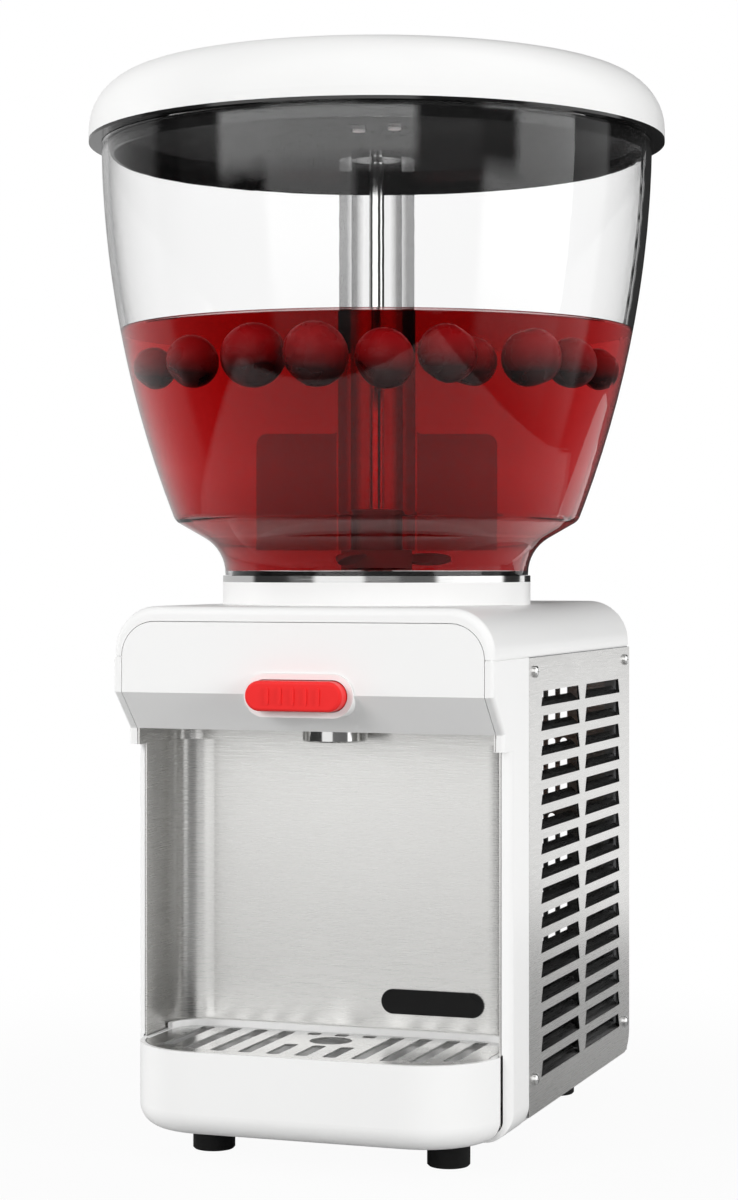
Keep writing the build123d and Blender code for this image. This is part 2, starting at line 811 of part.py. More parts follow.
def top_deck():
    """White top moulding with rounded sides and the round collar that takes the bowl."""
    deck = from_front(top_rounded(half_width, seam_z, deck_top_z, deck_corner), hood_front_y, back_y)
    middle_y = (hood_front_y + back_y) / 2
    end_y = back_y - middle_y - hole_gap
    rims = deck.edges().filter_by(lambda edge: edge.center().Z > seam_z + deck_edge)
    rims = rims.filter_by(lambda edge: abs(edge.center().Y - middle_y) > end_y)
    deck = fillet(rims, deck_edge)
    inner_half = half_width - plastic_wall
    deck -= from_front(
        top_rounded(inner_half, seam_z - overcut, deck_top_z - plastic_wall, deck_corner - plastic_wall),
        hood_front_y + plastic_wall, back_y - plastic_wall)
    ledge_y = hood_front_y + fascia_sheet + seam_gap
    opening = fascia_half + seam_gap
    deck -= from_front(
        top_rounded(opening, seam_z - overcut, fascia_top_z + seam_gap, fascia_corner + seam_gap),
        hood_front_y - overcut, ledge_y)
    ledge = from_front(
        top_rounded(inner_half, seam_z, deck_top_z - plastic_wall, deck_corner - plastic_wall),
        ledge_y, ledge_y + ledge_sheet)
    ledge -= from_front(
        top_rounded(fascia_half - fascia_ledge, seam_z - overcut, fascia_top_z - fascia_ledge,
                    fascia_corner - fascia_ledge),
        ledge_y - overcut, ledge_y + ledge_sheet + overcut)
    deck += ledge
    groove_half = half_width - deck_groove_depth
    groove = block(-half_width - overcut, half_width + overcut, hood_front_y - overcut, back_y + overcut,
                   seam_z - overcut, seam_z + deck_groove_height)
    groove -= block(-groove_half, groove_half, hood_front_y + deck_groove_depth, back_y - deck_groove_depth,
                    seam_z - overcut, deck_top_z)
    deck -= groove
    deck += post(collar_radius, boss_z, collar_top_z)
    deck -= post(collar_bore, boss_z - overcut, collar_top_z + overcut)
    return deck


def stadium(width, height):
    """Stadium sketch at the push button's place."""
    return Pos(0, button_z) * SlotOverall(width, height)


def front_fascia():
    """White bent panel set into the hood."""
    bend, low = hood_bend(fascia_sheet)
    panel = across(
        [(hood_front_y, fascia_top_z), (hood_front_y, slope_top_z), (lip_y, slope_low_z), low, bend,
         (bend[0], fascia_top_z)], fascia_half)
    panel &= from_front(fascia_outline(0, lip_z), hood_front_y - overcut, 0)
    grow = 2 * (button_gap + collar_wall)
    panel -= from_front(stadium(button_width + grow + hole_gap, button_height + grow + hole_gap),
                        hood_front_y - overcut, lip_y + collar_depth)
    return panel


def button_collar():
    """White raised sleeve that guides the push button."""
    grow = 2 * button_gap
    outer = stadium(button_width + grow + 2 * collar_wall, button_height + grow + 2 * collar_wall)
    inner = stadium(button_width + grow, button_height + grow)
    return from_front(outer - inner, hood_front_y - collar_proud, hood_front_y + collar_depth)


def push_button():
    """Red push button with plain grip ribs and a socket for the valve spool."""
    button = from_front(stadium(button_width, button_height), button_front_y, button_rear_y)
    front_rim = button.edges().filter_by(lambda edge: abs(edge.center().Y - button_front_y) < hole_gap)
    button = fillet(front_rim, button_edge)
    for rib in range(button_rib_count):
        x = (rib - (button_rib_count - 1) / 2) * button_rib_pitch
        sketch = Pos(x, button_z) * Rot(0, 0, 90) * SlotOverall(button_rib_length, button_rib_width)
        button += from_front(sketch, button_front_y - button_rib_height, button_front_y + overcut)
    socket_y = button_rear_y - spool_socket_depth
    return button - bar_y(spool_radius + press_gap, socket_y, button_rear_y + overcut, 0, button_z)


def valve_spool():
    """Sliding valve stem whose waist lines up with the outlet when the button is pressed."""
    front = button_rear_y - spool_socket_depth
    back = valve_rear_y + spool_tail - button_travel
    land = spool_radius - run_gap
    spool = bar_y(land, front, back, 0, button_z)
    waist = nozzle_y - button_travel
    ring = bar_y(spool_radius + overcut, waist - flow_radius, waist + flow_radius, 0, button_z)
    spool -= ring - bar_y(spool_waist, waist - flow_radius, waist + flow_radius, 0, button_z)
    for y in seal_places():
        groove = bar_y(spool_radius + overcut, y, y + seal_width, 0, button_z)
        spool -= groove - bar_y(land - seal_groove, y, y + seal_width, 0, button_z)
    return spool


def seal_places():
    """Front faces of the two seals, which stay inside the valve body over the whole travel."""
    front = nozzle_y - button_travel - flow_radius - seal_front_gap - seal_width
    rear = nozzle_y + flow_radius + seal_rear_gap
    return (front, rear)


def spool_seals():
    """Two sealing rings in the spool's grooves."""
    bore = spool_radius - run_gap - seal_groove + press_gap
    seals = []
    for y in seal_places():
        ring = bar_y(spool_radius - press_gap, y, y + seal_width, 0, button_z)
        seals.append(ring - bar_y(bore, y - overcut, y + overcut + seal_width, 0, button_z))
    return seals


def least_gap(wire, turns, radius):
    """Least gap between the turns of a wound tube, measured on points half a turn or more apart."""
    steps = turns * gap_sample_count
    points = [wire @ (step / steps) for step in range(steps + 1)]
    apart = gap_sample_count // 2
    pairs = [(i, j) for i in range(len(points)) for j in range(i + apart, len(points))]
    return min((points[i] - points[j]).length for i, j in pairs) - 2 * radius


def return_spring():
    """Compression spring around the spool, from the valve body to the push button."""
    radius = spool_radius + spring_gap + spring_wire_radius
    y0 = button_rear_y + spring_wire_radius + slide_gap
    y1 = valve_front_y - spring_wire_radius - slide_gap
    quarters = 4 * spring_turns

    def place(step):
        angle = step * math.pi / 2
        y = y0 + (y1 - y0) * step / quarters
        return (radius * math.cos(angle), y, button_z + radius * math.sin(angle))

    wire = Wire([ThreePointArc(place(step), place(step + 0.5), place(step + 1)) for step in range(quarters)])
    print("return_spring least gap", round(least_gap(wire, spring_turns, spring_wire_radius), 2))
    start = Plane(wire @ 0, z_dir=wire % 0)
    return sweep(start * Circle(spring_wire_radius), wire)


def valve_body():
    """Tap body that hangs from the well, with the outlet bore crossed by the spool's bore."""
    body = block(-valve_half_width, valve_half_width, valve_front_y, valve_rear_y, valve_low_z, plate_z)
    body += post(valve_neck_radius, plate_z - overcut, well_under_z, 0, nozzle_y)
    body += post(nozzle_spigot_radius, valve_low_z - nozzle_spigot_length, valve_low_z + overcut, 0, nozzle_y)
    mouth_z = valve_low_z - nozzle_spigot_length
    body -= post(flow_radius, mouth_z - overcut, well_under_z + overcut, 0, nozzle_y)
    body -= bar_y(spool_radius, valve_front_y - overcut, valve_rear_y + overcut, 0, button_z)
    return body


def outlet_nozzle():
    """Wide chrome nozzle that slips over the valve body's spigot."""
    bore = nozzle_spigot_radius + hole_gap
    low = valve_low_z - nozzle_height
    shelf = valve_low_z - nozzle_spigot_length
    nozzle = turned([
        (bore, valve_low_z), (nozzle_radius, valve_low_z), (nozzle_radius, low + nozzle_bevel),
        (nozzle_radius - nozzle_bevel, low), (nozzle_mouth_radius, low), (nozzle_mouth_radius, shelf),
        (bore, shelf),
    ])
    return Pos(0, nozzle_y) * nozzle


def tray_front_sketch(inset):
    """Plan of the tray's wide front, with its two large corners."""
    front = tray_front_y + inset
    cut = tray_step_y - inset
    half = tray_half - inset
    sketch = Pos(0, (front + tray_rear_y) / 2) * Rectangle(2 * half, tray_rear_y - front)
    sketch = fillet(sketch.vertices().group_by(Axis.Y)[0], tray_corner - inset)
    return sketch - Pos(0, (cut + tray_rear_y) / 2) * Rectangle(2 * half, tray_rear_y - cut)


def tray_rear_sketch(inset):
    """Plan of the tray's rear, which fits between the wings of the splash panel."""
    rear = tray_rear_y - inset
    half = tray_rear_half - inset
    front = tray_step_y - tray_wall - overcut
    sketch = Pos(0, (front + rear) / 2) * Rectangle(2 * half, rear - front)
    return fillet(sketch.vertices().group_by(Axis.Y)[-1], splash_corner - inset)


def tray_bottom_rounded(solid, radius):
    """Round the underside of the tray's front, all along its sides and corners."""
    low = solid.edges().group_by(Axis.Z)[0]
    rear = max(edge.center().Y for edge in low)
    return fillet([edge for edge in low if edge.center().Y < rear - hole_gap], radius)


def drip_tray():
    """White drip tray that slides out of the cup bay."""
    tray = tray_bottom_rounded(upward(tray_front_sketch(0), tray_low_z, tray_top_z), tray_bottom_edge)
    rear_low = pan_top_z + slide_gap
    tray += upward(tray_rear_sketch(0), rear_low, tray_top_z)
    floor_z = tray_low_z + tray_wall
    front_hollow = upward(tray_front_sketch(tray_wall), floor_z, tray_top_z + overcut)
    tray -= tray_bottom_rounded(front_hollow, tray_bottom_edge - tray_wall)
    tray -= upward(tray_rear_sketch(tray_wall), rear_low + tray_wall, tray_top_z + overcut)
    ledge_z = grid_low_z - grid_ledge_height
    ledge = upward(tray_rear_sketch(tray_wall - hole_gap), ledge_z, grid_low_z)
    ledge -= block(-tray_rear_half, tray_rear_half, tray_front_y, tray_rear_y - tray_wall - grid_ledge,
                   ledge_z - overcut, grid_low_z + overcut)
    tray += ledge
    front_ledge = upward(tray_front_sketch(tray_wall - hole_gap), ledge_z, grid_low_z)
    front_ledge -= block(-tray_half, tray_half, tray_front_y + tray_wall + grid_ledge, tray_rear_y,
                         ledge_z - overcut, grid_low_z + overcut)
    tray += front_ledge
    back_rim = upward(tray_rear_sketch(0) - tray_rear_sketch(tray_wall), tray_top_z - join_lap,
                      tray_top_z + tray_back_rise)
    back_rim &= block(-tray_rear_half, tray_rear_half, tray_rear_y - splash_corner, tray_rear_y,
                      tray_low_z, seam_z)
    return tray + back_rim


def drip_grid():
    """Polished steel grid with long slots and a round drain hole under the nozzle."""
    inset = tray_wall + tray_body_gap
    plate = tray_front_sketch(inset) + tray_rear_sketch(inset)
    front = tray_front_y + inset + grid_front_margin
    rear = tray_rear_y - inset - grid_rear_margin
    hole_front = grid_hole_y - grid_hole_radius - grid_front_bridge
    hole_rear = grid_hole_y + grid_hole_radius + grid_rear_bridge
    columns = 2 * grid_long_columns + grid_split_columns
    for column in range(columns):
        x = (column - (columns - 1) / 2) * grid_pitch
        into_corner = max(abs(x) + grid_slot_width / 2 - (tray_half - tray_corner), 0)
        corner_rise = tray_corner - inset - math.sqrt((tray_corner - inset)**2 - into_corner**2)
        spans = [(front + corner_rise, rear)]
        if grid_long_columns <= column < columns - grid_long_columns:
            spans = [(front, hole_front), (hole_rear, rear)]
        for y0, y1 in spans:
            plate -= Pos(x, (y0 + y1) / 2) * RectangleRounded(grid_slot_width, y1 - y0, grid_slot_corner)
    plate -= Pos(0, grid_hole_y) * Circle(grid_hole_radius)
    return upward(plate, grid_low_z, grid_top_z)


def badge_plate():
    """Bare black plate on the splash panel."""
    sketch = Pos(badge_x, pan_z + badge_above_pan) * SlotOverall(badge_width, badge_height)
    return from_front(sketch, splash_y - badge_sheet, splash_y)


def seat_ring():
    """Bright steel ring on the collar, under the bowl's neck."""
    return sleeve(collar_radius, gasket_outer + seam_gap, collar_top_z, seat_top_z)


def evaporator_well():
    """Stainless cold well: an upturned cup that fills the bowl's neck."""
    flange = well_radius + well_flange
    well = turned([
        (0, well_under_z), (well_bore, well_under_z), (well_bore, boss_z - well_sheet),
        (flange, boss_z - well_sheet), (flange, boss_z), (well_radius, boss_z), (well_radius, well_top_z),
        (0, well_top_z),
    ])
    return well - post(flow_radius, well_under_z - overcut, well_top_z + overcut, 0, nozzle_y)


def bowl_gasket():
    """Rubber gasket between the cold well and the bowl's neck."""
    return sleeve(gasket_outer, well_radius + press_gap, collar_top_z, well_top_z)


def bowl_section(inset):
    """Half section of the bowl's outside, or of its hollow when inset by the wall."""
    turn = math.radians(flare_turn)
    flare_z = bowl_base_z + neck_height
    flare = flare_radius + inset
    flare_centre = Vector(neck_radius + flare_radius, flare_z)
    flare_start = Vector(neck_radius - inset, flare_z)
    flare_middle = flare_centre + Vector(-math.cos(turn / 2), math.sin(turn / 2)) * flare
    to_end = Vector(-math.cos(turn), math.sin(turn))
    flare_end = flare_centre + to_end * flare
    slope = Vector(math.sin(turn), math.cos(turn))
    low_end = flare_centre + to_end * flare_radius + slope * shoulder_run
    chord = Vector(bowl_rim_radius, bowl_top_z) - low_end
    side_radius = (chord.length**2 / 4 + side_bulge**2) / (2 * side_bulge)
    inward = Vector(-chord.Y, chord.X).normalized()
    centre = low_end + chord / 2 + inward * (side_radius - side_bulge)
    radius = side_radius - inset
    reach = flare_end - centre
    along = reach.dot(slope)
    shoulder = flare_end + slope * (-along + math.sqrt(along**2 - reach.dot(reach) + radius**2))
    top_z = bowl_top_z + (overcut if inset else 0)
    rim = Vector(centre.X + math.sqrt(radius**2 - (top_z - centre.Y)**2), top_z)
    middle_z = (shoulder.Y + rim.Y) / 2
    middle = Vector(centre.X + math.sqrt(radius**2 - (middle_z - centre.Y)**2), middle_z)
    low_z = bowl_base_z - (overcut if inset else 0)
    foot = Vector(neck_radius - inset, low_z)
    face = make_face([
        Line((0, low_z), foot), Line(foot, flare_start), ThreePointArc(flare_start, flare_middle, flare_end),
        Line(flare_end, shoulder), ThreePointArc(shoulder, middle, rim), Line(rim, (0, top_z)),
        Line((0, top_z), (0, low_z)),
    ])
    corner = face.vertices().sort_by_distance(shoulder)[0]
    return fillet(corner, shoulder_fillet - inset)


def bowl():
    """Clear round bowl, open at its neck and at its rim."""
    outside = revolve(Plane.XZ * bowl_section(0), Axis.Z)
    return outside - revolve(Plane.XZ * bowl_section(bowl_wall), Axis.Z)


def lid_section(inset):
    """Half section of the lid's outside, or of its hollow when inset by the wall."""
    radius = lid_radius - inset
    low = lid_z - (overcut if inset else 0)
    dome_centre = lid_top_z - lid_dome_radius
    dome = lid_dome_radius - inset
    side_top = dome_centre + math.sqrt(dome**2 - radius**2)
    middle = radius / 2
    middle_z = dome_centre + math.sqrt(dome**2 - middle**2)
    top = dome_centre + dome
    face = make_face([
        Line((0, low), (radius, low)), Line((radius, low), (radius, side_top)),
        ThreePointArc((radius, side_top), (middle, middle_z), (0, top)), Line((0, top), (0, low)),
    ])
    corner = face.vertices().sort_by_distance(Vector(radius, side_top))[0]
    return fillet(corner, lid_shoulder - inset)


def lid_shell():
    """White domed lid with two bosses for the liner's screws."""
    lid = revolve(Plane.XZ * lid_section(0), Axis.Z)
    lid -= revolve(Plane.XZ * lid_section(lid_wall), Axis.Z)
    boss_low = liner_centre_z() + liner_sheet + slide_gap
    for x in (-lid_screw_x, lid_screw_x):
        lid += post(lid_boss_radius, boss_low, lid_top_z - lid_wall, x)
        lid -= post(lid_screw_radius + hole_gap, boss_low - overcut, boss_low + lid_screw_depth, x)
    return lid


def liner_centre_z():
    """Height of the liner's underside at its screws."""
    return liner_z + liner_rise - liner_dome_radius + math.sqrt(liner_dome_radius**2 - lid_screw_x**2)


def liner_arc(lift):
    """Dome arc of the liner from its rim to the axis."""
    rim_z = liner_z + lift
    centre = rim_z + liner_rise - liner_dome_radius
    middle = liner_bore / 2
    middle_z = centre + math.sqrt(liner_dome_radius**2 - middle**2)
    return ThreePointArc((liner_bore, rim_z), (middle, middle_z), (0, rim_z + liner_rise))


def lid_liner():
    """Black glossy liner that closes the lid and hooks inside the bowl's rim."""
    skirt = liner_bore
    skirt_z = liner_z - liner_skirt_depth
    upper = liner_arc(liner_sheet)
    lower = liner_arc(0)
    face = make_face([
        Line((skirt, lid_z), (lid_radius, lid_z)), Line((lid_radius, lid_z), (lid_radius, liner_z)),
        Line((lid_radius, liner_z), (liner_inner, liner_z)),
        Line((liner_inner, liner_z), (liner_inner, skirt_z)),
        Line((liner_inner, skirt_z), (skirt, skirt_z)), Line((skirt, skirt_z), (skirt, liner_z)), lower,
        Line((0, liner_z + liner_rise), (0, lid_z + liner_rise)), upper,
    ])
    liner = revolve(Plane.XZ * face, Axis.Z)
    for x in (-lid_screw_x, lid_screw_x):
        liner -= post(lid_screw_radius + hole_gap, liner_z, lid_top_z, x)
    return liner


def lid_screws():
    """Two bright screws that hold the liner to the lid."""
    low = liner_centre_z() - lid_screw_head_height
    screw = post(lid_screw_head, low, low + lid_screw_head_height - slide_gap)
    screw += post(lid_screw_radius, low, low + lid_screw_depth)
    return [Pos(x) * screw for x in (-lid_screw_x, lid_screw_x)]


def spindle():
    """Steel spindle fixed on the cold well."""
    return post(spindle_foot_radius, well_top_z, well_top_z + spindle_foot_height) + post(
        spindle_radius, well_top_z, spindle_top_z)


def leaf_blade():
    """One pitched leaf blade pointing along X."""
    root = hub_radius - leaf_root_lap
    length = leaf_reach - root
    leaf = extrude(Ellipse(length / 2, leaf_width / 2), leaf_sheet / 2, both=True)
    middle_z = hub_low_z + hub_height / 2
    return Pos(root + length / 2, 0, middle_z) * Rot(leaf_pitch, 0, 0) * leaf


def stirrer_impeller():
    """Hub with leaf blades, which carries the paddle and the follower magnet."""
    spigot = tube_bore - hole_gap
    hub = post(hub_radius, hub_low_z, hub_top_z) + post(spigot, hub_low_z, hub_top_z + hub_spigot)
    for leaf in range(leaf_count):
        hub += Rot(0, 0, paddle_rest_angle + leaf * 360 / leaf_count) * leaf_blade()
    hub -= post(bush_radius + press_gap, hub_low_z - overcut, hub_top_z + hub_spigot + overcut)
    magnet = bush_radius + bush_wall
    hub -= sleeve(magnet + magnet_wall, magnet, hub_low_z - overcut, hub_low_z + magnet_height + slide_gap)
    return hub


def stirrer_bush():
    """Plain bush that runs on the spindle."""
    return sleeve(bush_radius, spindle_radius + run_gap, hub_low_z, hub_top_z + hub_spigot)


def follower_magnet():
    """Ring magnet in the underside of the impeller's hub."""
    inner = bush_radius + bush_wall + press_gap
    return sleeve(inner + magnet_wall - 2 * press_gap, inner, hub_low_z, hub_low_z + magnet_height)


def stirrer_paddle():
    """Clear tube with two flat fins, which turns around the spindle."""
    paddle = post(paddle_tube_radius, hub_top_z, paddle_top_z)
    fin_top = hub_top_z + fin_height
    fin = Pos(0, (hub_top_z + fin_top) / 2) * Rectangle(2 * fin_reach, fin_height)
    fin = fillet(fin.vertices().group_by(Axis.Y)[-1], fin_corner)
    neck = Pos(0, fin_top + fin_fillet / 2) * Rectangle(2 * (paddle_tube_radius + fin_fillet), fin_fillet)
    for side in (-1, 1):
        neck -= Pos(side * (paddle_tube_radius + fin_fillet), fin_top + fin_fillet) * Circle(fin_fillet)
    paddle += from_front(fin + neck, -fin_sheet / 2, fin_sheet / 2)
    paddle -= post(tube_bore, hub_top_z - overcut, paddle_top_z + overcut)
    return Rot(0, 0, paddle_rest_angle) * paddle


def drive_magnet():
    """Magnet plate on the motor shaft, under the well's floor."""
    top = well_under_z - drive_air_gap
    return sleeve(drive_magnet_radius, motor_shaft_radius + press_gap, top - drive_magnet_height, top)


def motor_shaft():
    """Shaft of the stirring motor."""
    return post(motor_shaft_radius, plate_z - motor_shaft_depth, well_under_z - drive_air_gap)


def stir_motor():
    """Stirring motor under the support plate."""
    motor = post(motor_radius, plate_z - motor_height, plate_z - motor_flange_sheet)
    motor += post(motor_flange_radius, plate_z - motor_flange_sheet, plate_z)
    bore_z = plate_z - motor_shaft_depth - slide_gap
    return motor - post(motor_shaft_radius + run_gap, bore_z, plate_z + overcut)


def evaporator_coil():
    """Flat copper spiral under the well's floor, made of half turns that grow by half a pitch each."""
    halves = 2 * coil_turns
    arcs = []
    x = coil_inner_radius
    side = 1
    for half in range(halves):
        radius = coil_inner_radius + (half + 0.5) * coil_pitch / 2
        centre = x - side * radius
        end = centre - side * radius
        arcs.append(ThreePointArc((x, 0, coil_z), (centre, side * radius, coil_z), (end, 0, coil_z)))
        x = end
        side = -side
    wire = Wire(arcs)
    print("evaporator_coil least gap", round(least_gap(wire, coil_turns, coil_tube_radius), 2))
    start = Plane(wire @ 0, z_dir=wire % 0)
    return sweep(start * Circle(coil_tube_radius), wire)


def insulation_disc():
    """Foam disc under the coil, which also backs the well's flange."""
    top = coil_z - coil_tube_radius - slide_gap
    foam = post(well_radius + well_flange, seam_z, boss_z - well_sheet)
    foam += post(well_bore - slide_gap, seam_z, top)
    foam -= post(foam_core_radius, seam_z - overcut, top + overcut)
    neck_half = valve_neck_radius + join_lap
    foam -= block(-neck_half, neck_half, -2 * well_radius, nozzle_y + neck_half,
                  seam_z - overcut, top + overcut)
    for x in (coil_inner_radius, coil_outer_radius):
        foam -= post(pipe_radius + slide_gap, seam_z - overcut, top + overcut, x)
    return foam


def compressor():
    """Hermetic compressor with its foot plate and two pipe stubs."""
    low = compressor_low_z + compressor_plate
    can = post(compressor_radius, low, low + compressor_height, compressor_x, compressor_y)
    can = fillet(can.edges().filter_by(GeomType.CIRCLE), compressor_dome)
    plate_x = compressor_mount_x + compressor_mount_radius
    plate_y = compressor_mount_y + compressor_mount_radius
    can += block(compressor_x - plate_x, compressor_x + plate_x,
                 compressor_y - plate_y, compressor_y + plate_y, compressor_low_z, low + overcut)
    for x in stub_places():
        can += post(compressor_stub_radius, compressor_top_z - compressor_dome, stub_top_z, x, compressor_y)
    return can


def stub_places():
    """X of the discharge stub and of the suction stub."""
    return (compressor_x - compressor_stub_x, compressor_x + compressor_stub_x)


def compressor_mounts():
    """Four rubber mounts under the compressor's foot plate."""
    mounts = []
    for x in (compressor_x - compressor_mount_x, compressor_x + compressor_mount_x):
        for y in (compressor_y - compressor_mount_y, compressor_y + compressor_mount_y):
            mounts.append(post(compressor_mount_radius, pan_top_z, compressor_low_z, x, y))
    return mounts


def relay_box():
    """Start relay on the front of the compressor."""
    front = compressor_y - compressor_radius - relay_proud
    low = compressor_low_z + relay_lift
    high = low + relay_height
    half = relay_width / 2
    box = block(compressor_x - half, compressor_x + half, front, front + relay_depth, low, high)
    can = compressor_radius + press_gap
    return box - post(can, low - overcut, high + overcut, compressor_x, compressor_y)


def condenser():
    """Finned condenser behind the left side panel."""
    y1 = condenser_front_y + condenser_length
    unit = block(condenser_x0, condenser_x1, condenser_front_y, y1, condenser_low_z, condenser_top_z)
    pitch = (condenser_length - condenser_fin_sheet) / (condenser_fins - 1)
    cut = (condenser_depth - condenser_core) / 2
    for fin in range(condenser_fins - 1):
        y0 = condenser_front_y + fin * pitch + condenser_fin_sheet
        for x0 in (condenser_x0 - overcut, condenser_x1 - cut):
            unit -= block(x0, x0 + cut + overcut, y0, y0 + pitch - condenser_fin_sheet,
                          condenser_low_z + condenser_fin_sheet, condenser_top_z - condenser_fin_sheet)
    return unit


def fan_shroud():
    """Shroud plate with a ring around the fan and three struts that carry the fan motor."""
    ring_bore = fan_radius + fan_tip_gap
    ring = ring_bore + shroud_ring_wall
    rear_y = condenser_front_y + condenser_length
    plate = block(shroud_x0, shroud_x0 + shroud_sheet, condenser_front_y, rear_y, pan_top_z, condenser_top_z)
    plate += bar_x(ring, shroud_x0, strut_x1, fan_y, fan_z)
    plate -= bar_x(ring_bore, shroud_x0 - overcut, strut_x1 + overcut, fan_y, fan_z)
    plate += bar_x(fan_motor_radius, shroud_x1, strut_x1, fan_y, fan_z)
    strut = block(shroud_x1, strut_x1, -strut_width / 2, strut_width / 2, fan_motor_radius - overcut,
                  ring - hole_gap)
    for arm in range(strut_count):
        plate += Pos(0, fan_y, fan_z) * Rot(arm * 360 / strut_count, 0, 0) * strut
    return plate - bar_x(fan_shaft_radius + overcut, shroud_x1 - overcut, strut_x1 + overcut, fan_y, fan_z)


def fan_motor():
    """Fan motor on the shroud's struts."""
    motor = bar_x(fan_motor_radius, strut_x1, strut_x1 + fan_motor_length, fan_y, fan_z)
    bore_end = strut_x1 + fan_shaft_depth
    return motor - bar_x(fan_shaft_radius + run_gap, strut_x1 - overcut, bore_end, fan_y, fan_z)


def fan_rotor():
    """Fan hub with its blades and shaft."""
    x0 = shroud_x0 + shroud_sheet
    hub = bar_x(fan_hub_radius, x0, x0 + fan_hub_length, fan_y, fan_z)
    hub += bar_x(fan_shaft_radius, x0, strut_x1 + fan_shaft_depth - slide_gap, fan_y, fan_z)
    middle_x = x0 + fan_hub_length / 2
    length = fan_radius - fan_hub_radius
    blade = Box(fan_blade_sheet, fan_blade_chord, length + overcut)
    blade = Pos(0, 0, fan_hub_radius + length / 2 - overcut) * Rot(0, 0, fan_blade_pitch) * blade
    blade &= bar_x(fan_radius, -fan_blade_chord, fan_blade_chord, 0, 0)
    for arm in range(fan_blades):
        hub += Pos(middle_x, fan_y, fan_z) * Rot(arm * 360 / fan_blades, 0, 0) * blade
    return hub


def filter_drier():
    """Copper filter drier, standing on the floor pan in front of the fan."""
    return post(drier_radius, pan_top_z, pan_top_z + drier_length, drier_x, drier_y)


def pipe(points):
    """Bent copper pipe through corner points."""
    wire = FilletPolyline(*points, radius=pipe_bend)
    start = Plane(wire @ 0, z_dir=wire % 0)
    return sweep(start * Circle(pipe_radius), wire)


def refrigerant_tubes():
    """Discharge, suction and liquid pipes of the cooling circuit."""
    discharge_x, suction_x = stub_places()
    over_z = condenser_top_z + pipe_rise
    header_x = (condenser_x0 + condenser_x1) / 2
    coil_low = coil_z - coil_tube_radius
    discharge = pipe([
        (discharge_x, compressor_y, stub_top_z), (discharge_x, compressor_y, over_z),
        (header_x, compressor_y, over_z), (header_x, compressor_y, condenser_top_z),
    ])
    suction_z = over_z + pipe_rise
    suction = pipe([
        (suction_x, compressor_y, stub_top_z), (suction_x, compressor_y, suction_z),
        (coil_outer_radius, compressor_y / 2, suction_z), (coil_outer_radius, 0, suction_z),
        (coil_outer_radius, 0, coil_low),
    ])
    liquid = pipe([
        (drier_x, drier_y, pan_top_z + drier_length), (drier_x, drier_y, over_z),
        (coil_inner_radius, 0, over_z), (coil_inner_radius, 0, coil_low),
    ])
    return [discharge, suction, liquid]


def switch_housing(z):
    """Rocker switch housing in the rear panel, with a round seat for the rocker."""
    half_w = (switch_width - switch_bezel) / 2 - hole_gap
    half_h = (switch_height - switch_bezel) / 2 - hole_gap
    seat_half = half_w - switch_wall
    housing = block(control_x - switch_width / 2, control_x + switch_width / 2,
                    rear_face_y, rear_face_y + switch_bezel, z - switch_height / 2, z + switch_height / 2)
    housing += block(control_x - half_w, control_x + half_w,
                     rear_face_y - switch_depth, rear_face_y + join_lap, z - half_h, z + half_h)
    return housing - bar_x(
        rocker_radius + slide_gap, control_x - seat_half, control_x + seat_half, rear_face_y, z)


def switch_housings():
    """Housings of the cooling switch and the stirring switch."""
    return [switch_housing(cooling_z), switch_housing(stirring_z)]


def rocker(z):
    """Rocker with a dished face, resting in its off position."""
    half = (switch_width - switch_bezel) / 2 - hole_gap - switch_wall - slide_gap
    body = bar_x(rocker_radius, -half, half, 0, 0)
    body &= block(-half, half, -rocker_back, rocker_radius, -rocker_radius, rocker_radius)
    dish_y = rocker_radius - rocker_dish + rocker_dish_radius
    body -= bar_x(rocker_dish_radius, -half - overcut, half + overcut, dish_y, 0)
    return Pos(control_x, rear_face_y, z) * Rot(-rocker_throw, 0, 0) * body


def cooling_rocker():
    """Rocker of the cooling switch."""
    return rocker(cooling_z)


def stirring_rocker():
    """Rocker of the stirring switch."""
    return rocker(stirring_z)


def thermostat():
    """Thermostat behind the rear panel, with its shaft through the panel."""
    body = bar_y(thermostat_radius, rear_panel_y - thermostat_depth, rear_panel_y, control_x, knob_z)
    shaft_end = rear_face_y + knob_shaft_length
    return body + bar_y(knob_shaft_radius, rear_panel_y - overcut, shaft_end, control_x, knob_z)


def thermostat_knob():
    """Ribbed thermostat knob with a pointer ridge."""
    y0 = rear_face_y + slide_gap
    y1 = y0 + knob_length
    knob = bar_y(knob_radius, y0, y1, control_x, knob_z)
    reach = knob_radius + knob_grip_offset
    for grip in range(knob_grip_count):
        angle = grip * 2 * math.pi / knob_grip_count
        x = control_x + reach * math.cos(angle)
        z = knob_z + reach * math.sin(angle)
        knob -= bar_y(knob_grip_radius, y0 + knob_skirt, y1 + overcut, x, z)
    knob += block(control_x - knob_pointer_width / 2, control_x + knob_pointer_width / 2,
                  y1 - join_lap, y1 + knob_pointer_height, knob_z, knob_z + knob_pointer_length)
    socket_end = rear_face_y + knob_shaft_length + slide_gap
    return knob - bar_y(knob_shaft_radius + run_gap, y0 - overcut, socket_end, control_x, knob_z)


def cord_gland():
    """Cord gland in the rear panel."""
    end = rear_face_y + gland_length
    gland = bar_y(gland_radius, rear_face_y, rear_face_y + gland_flange, control_x, gland_z)
    gland += bar_y(gland_neck_radius, rear_face_y, end, control_x, gland_z)
    gland += bar_y(gland_tail_radius, rear_panel_y - gland_tail, rear_face_y, control_x, gland_z)
    return gland - bar_y(gland_bore, rear_panel_y - gland_tail - overcut, end + overcut, control_x, gland_z)


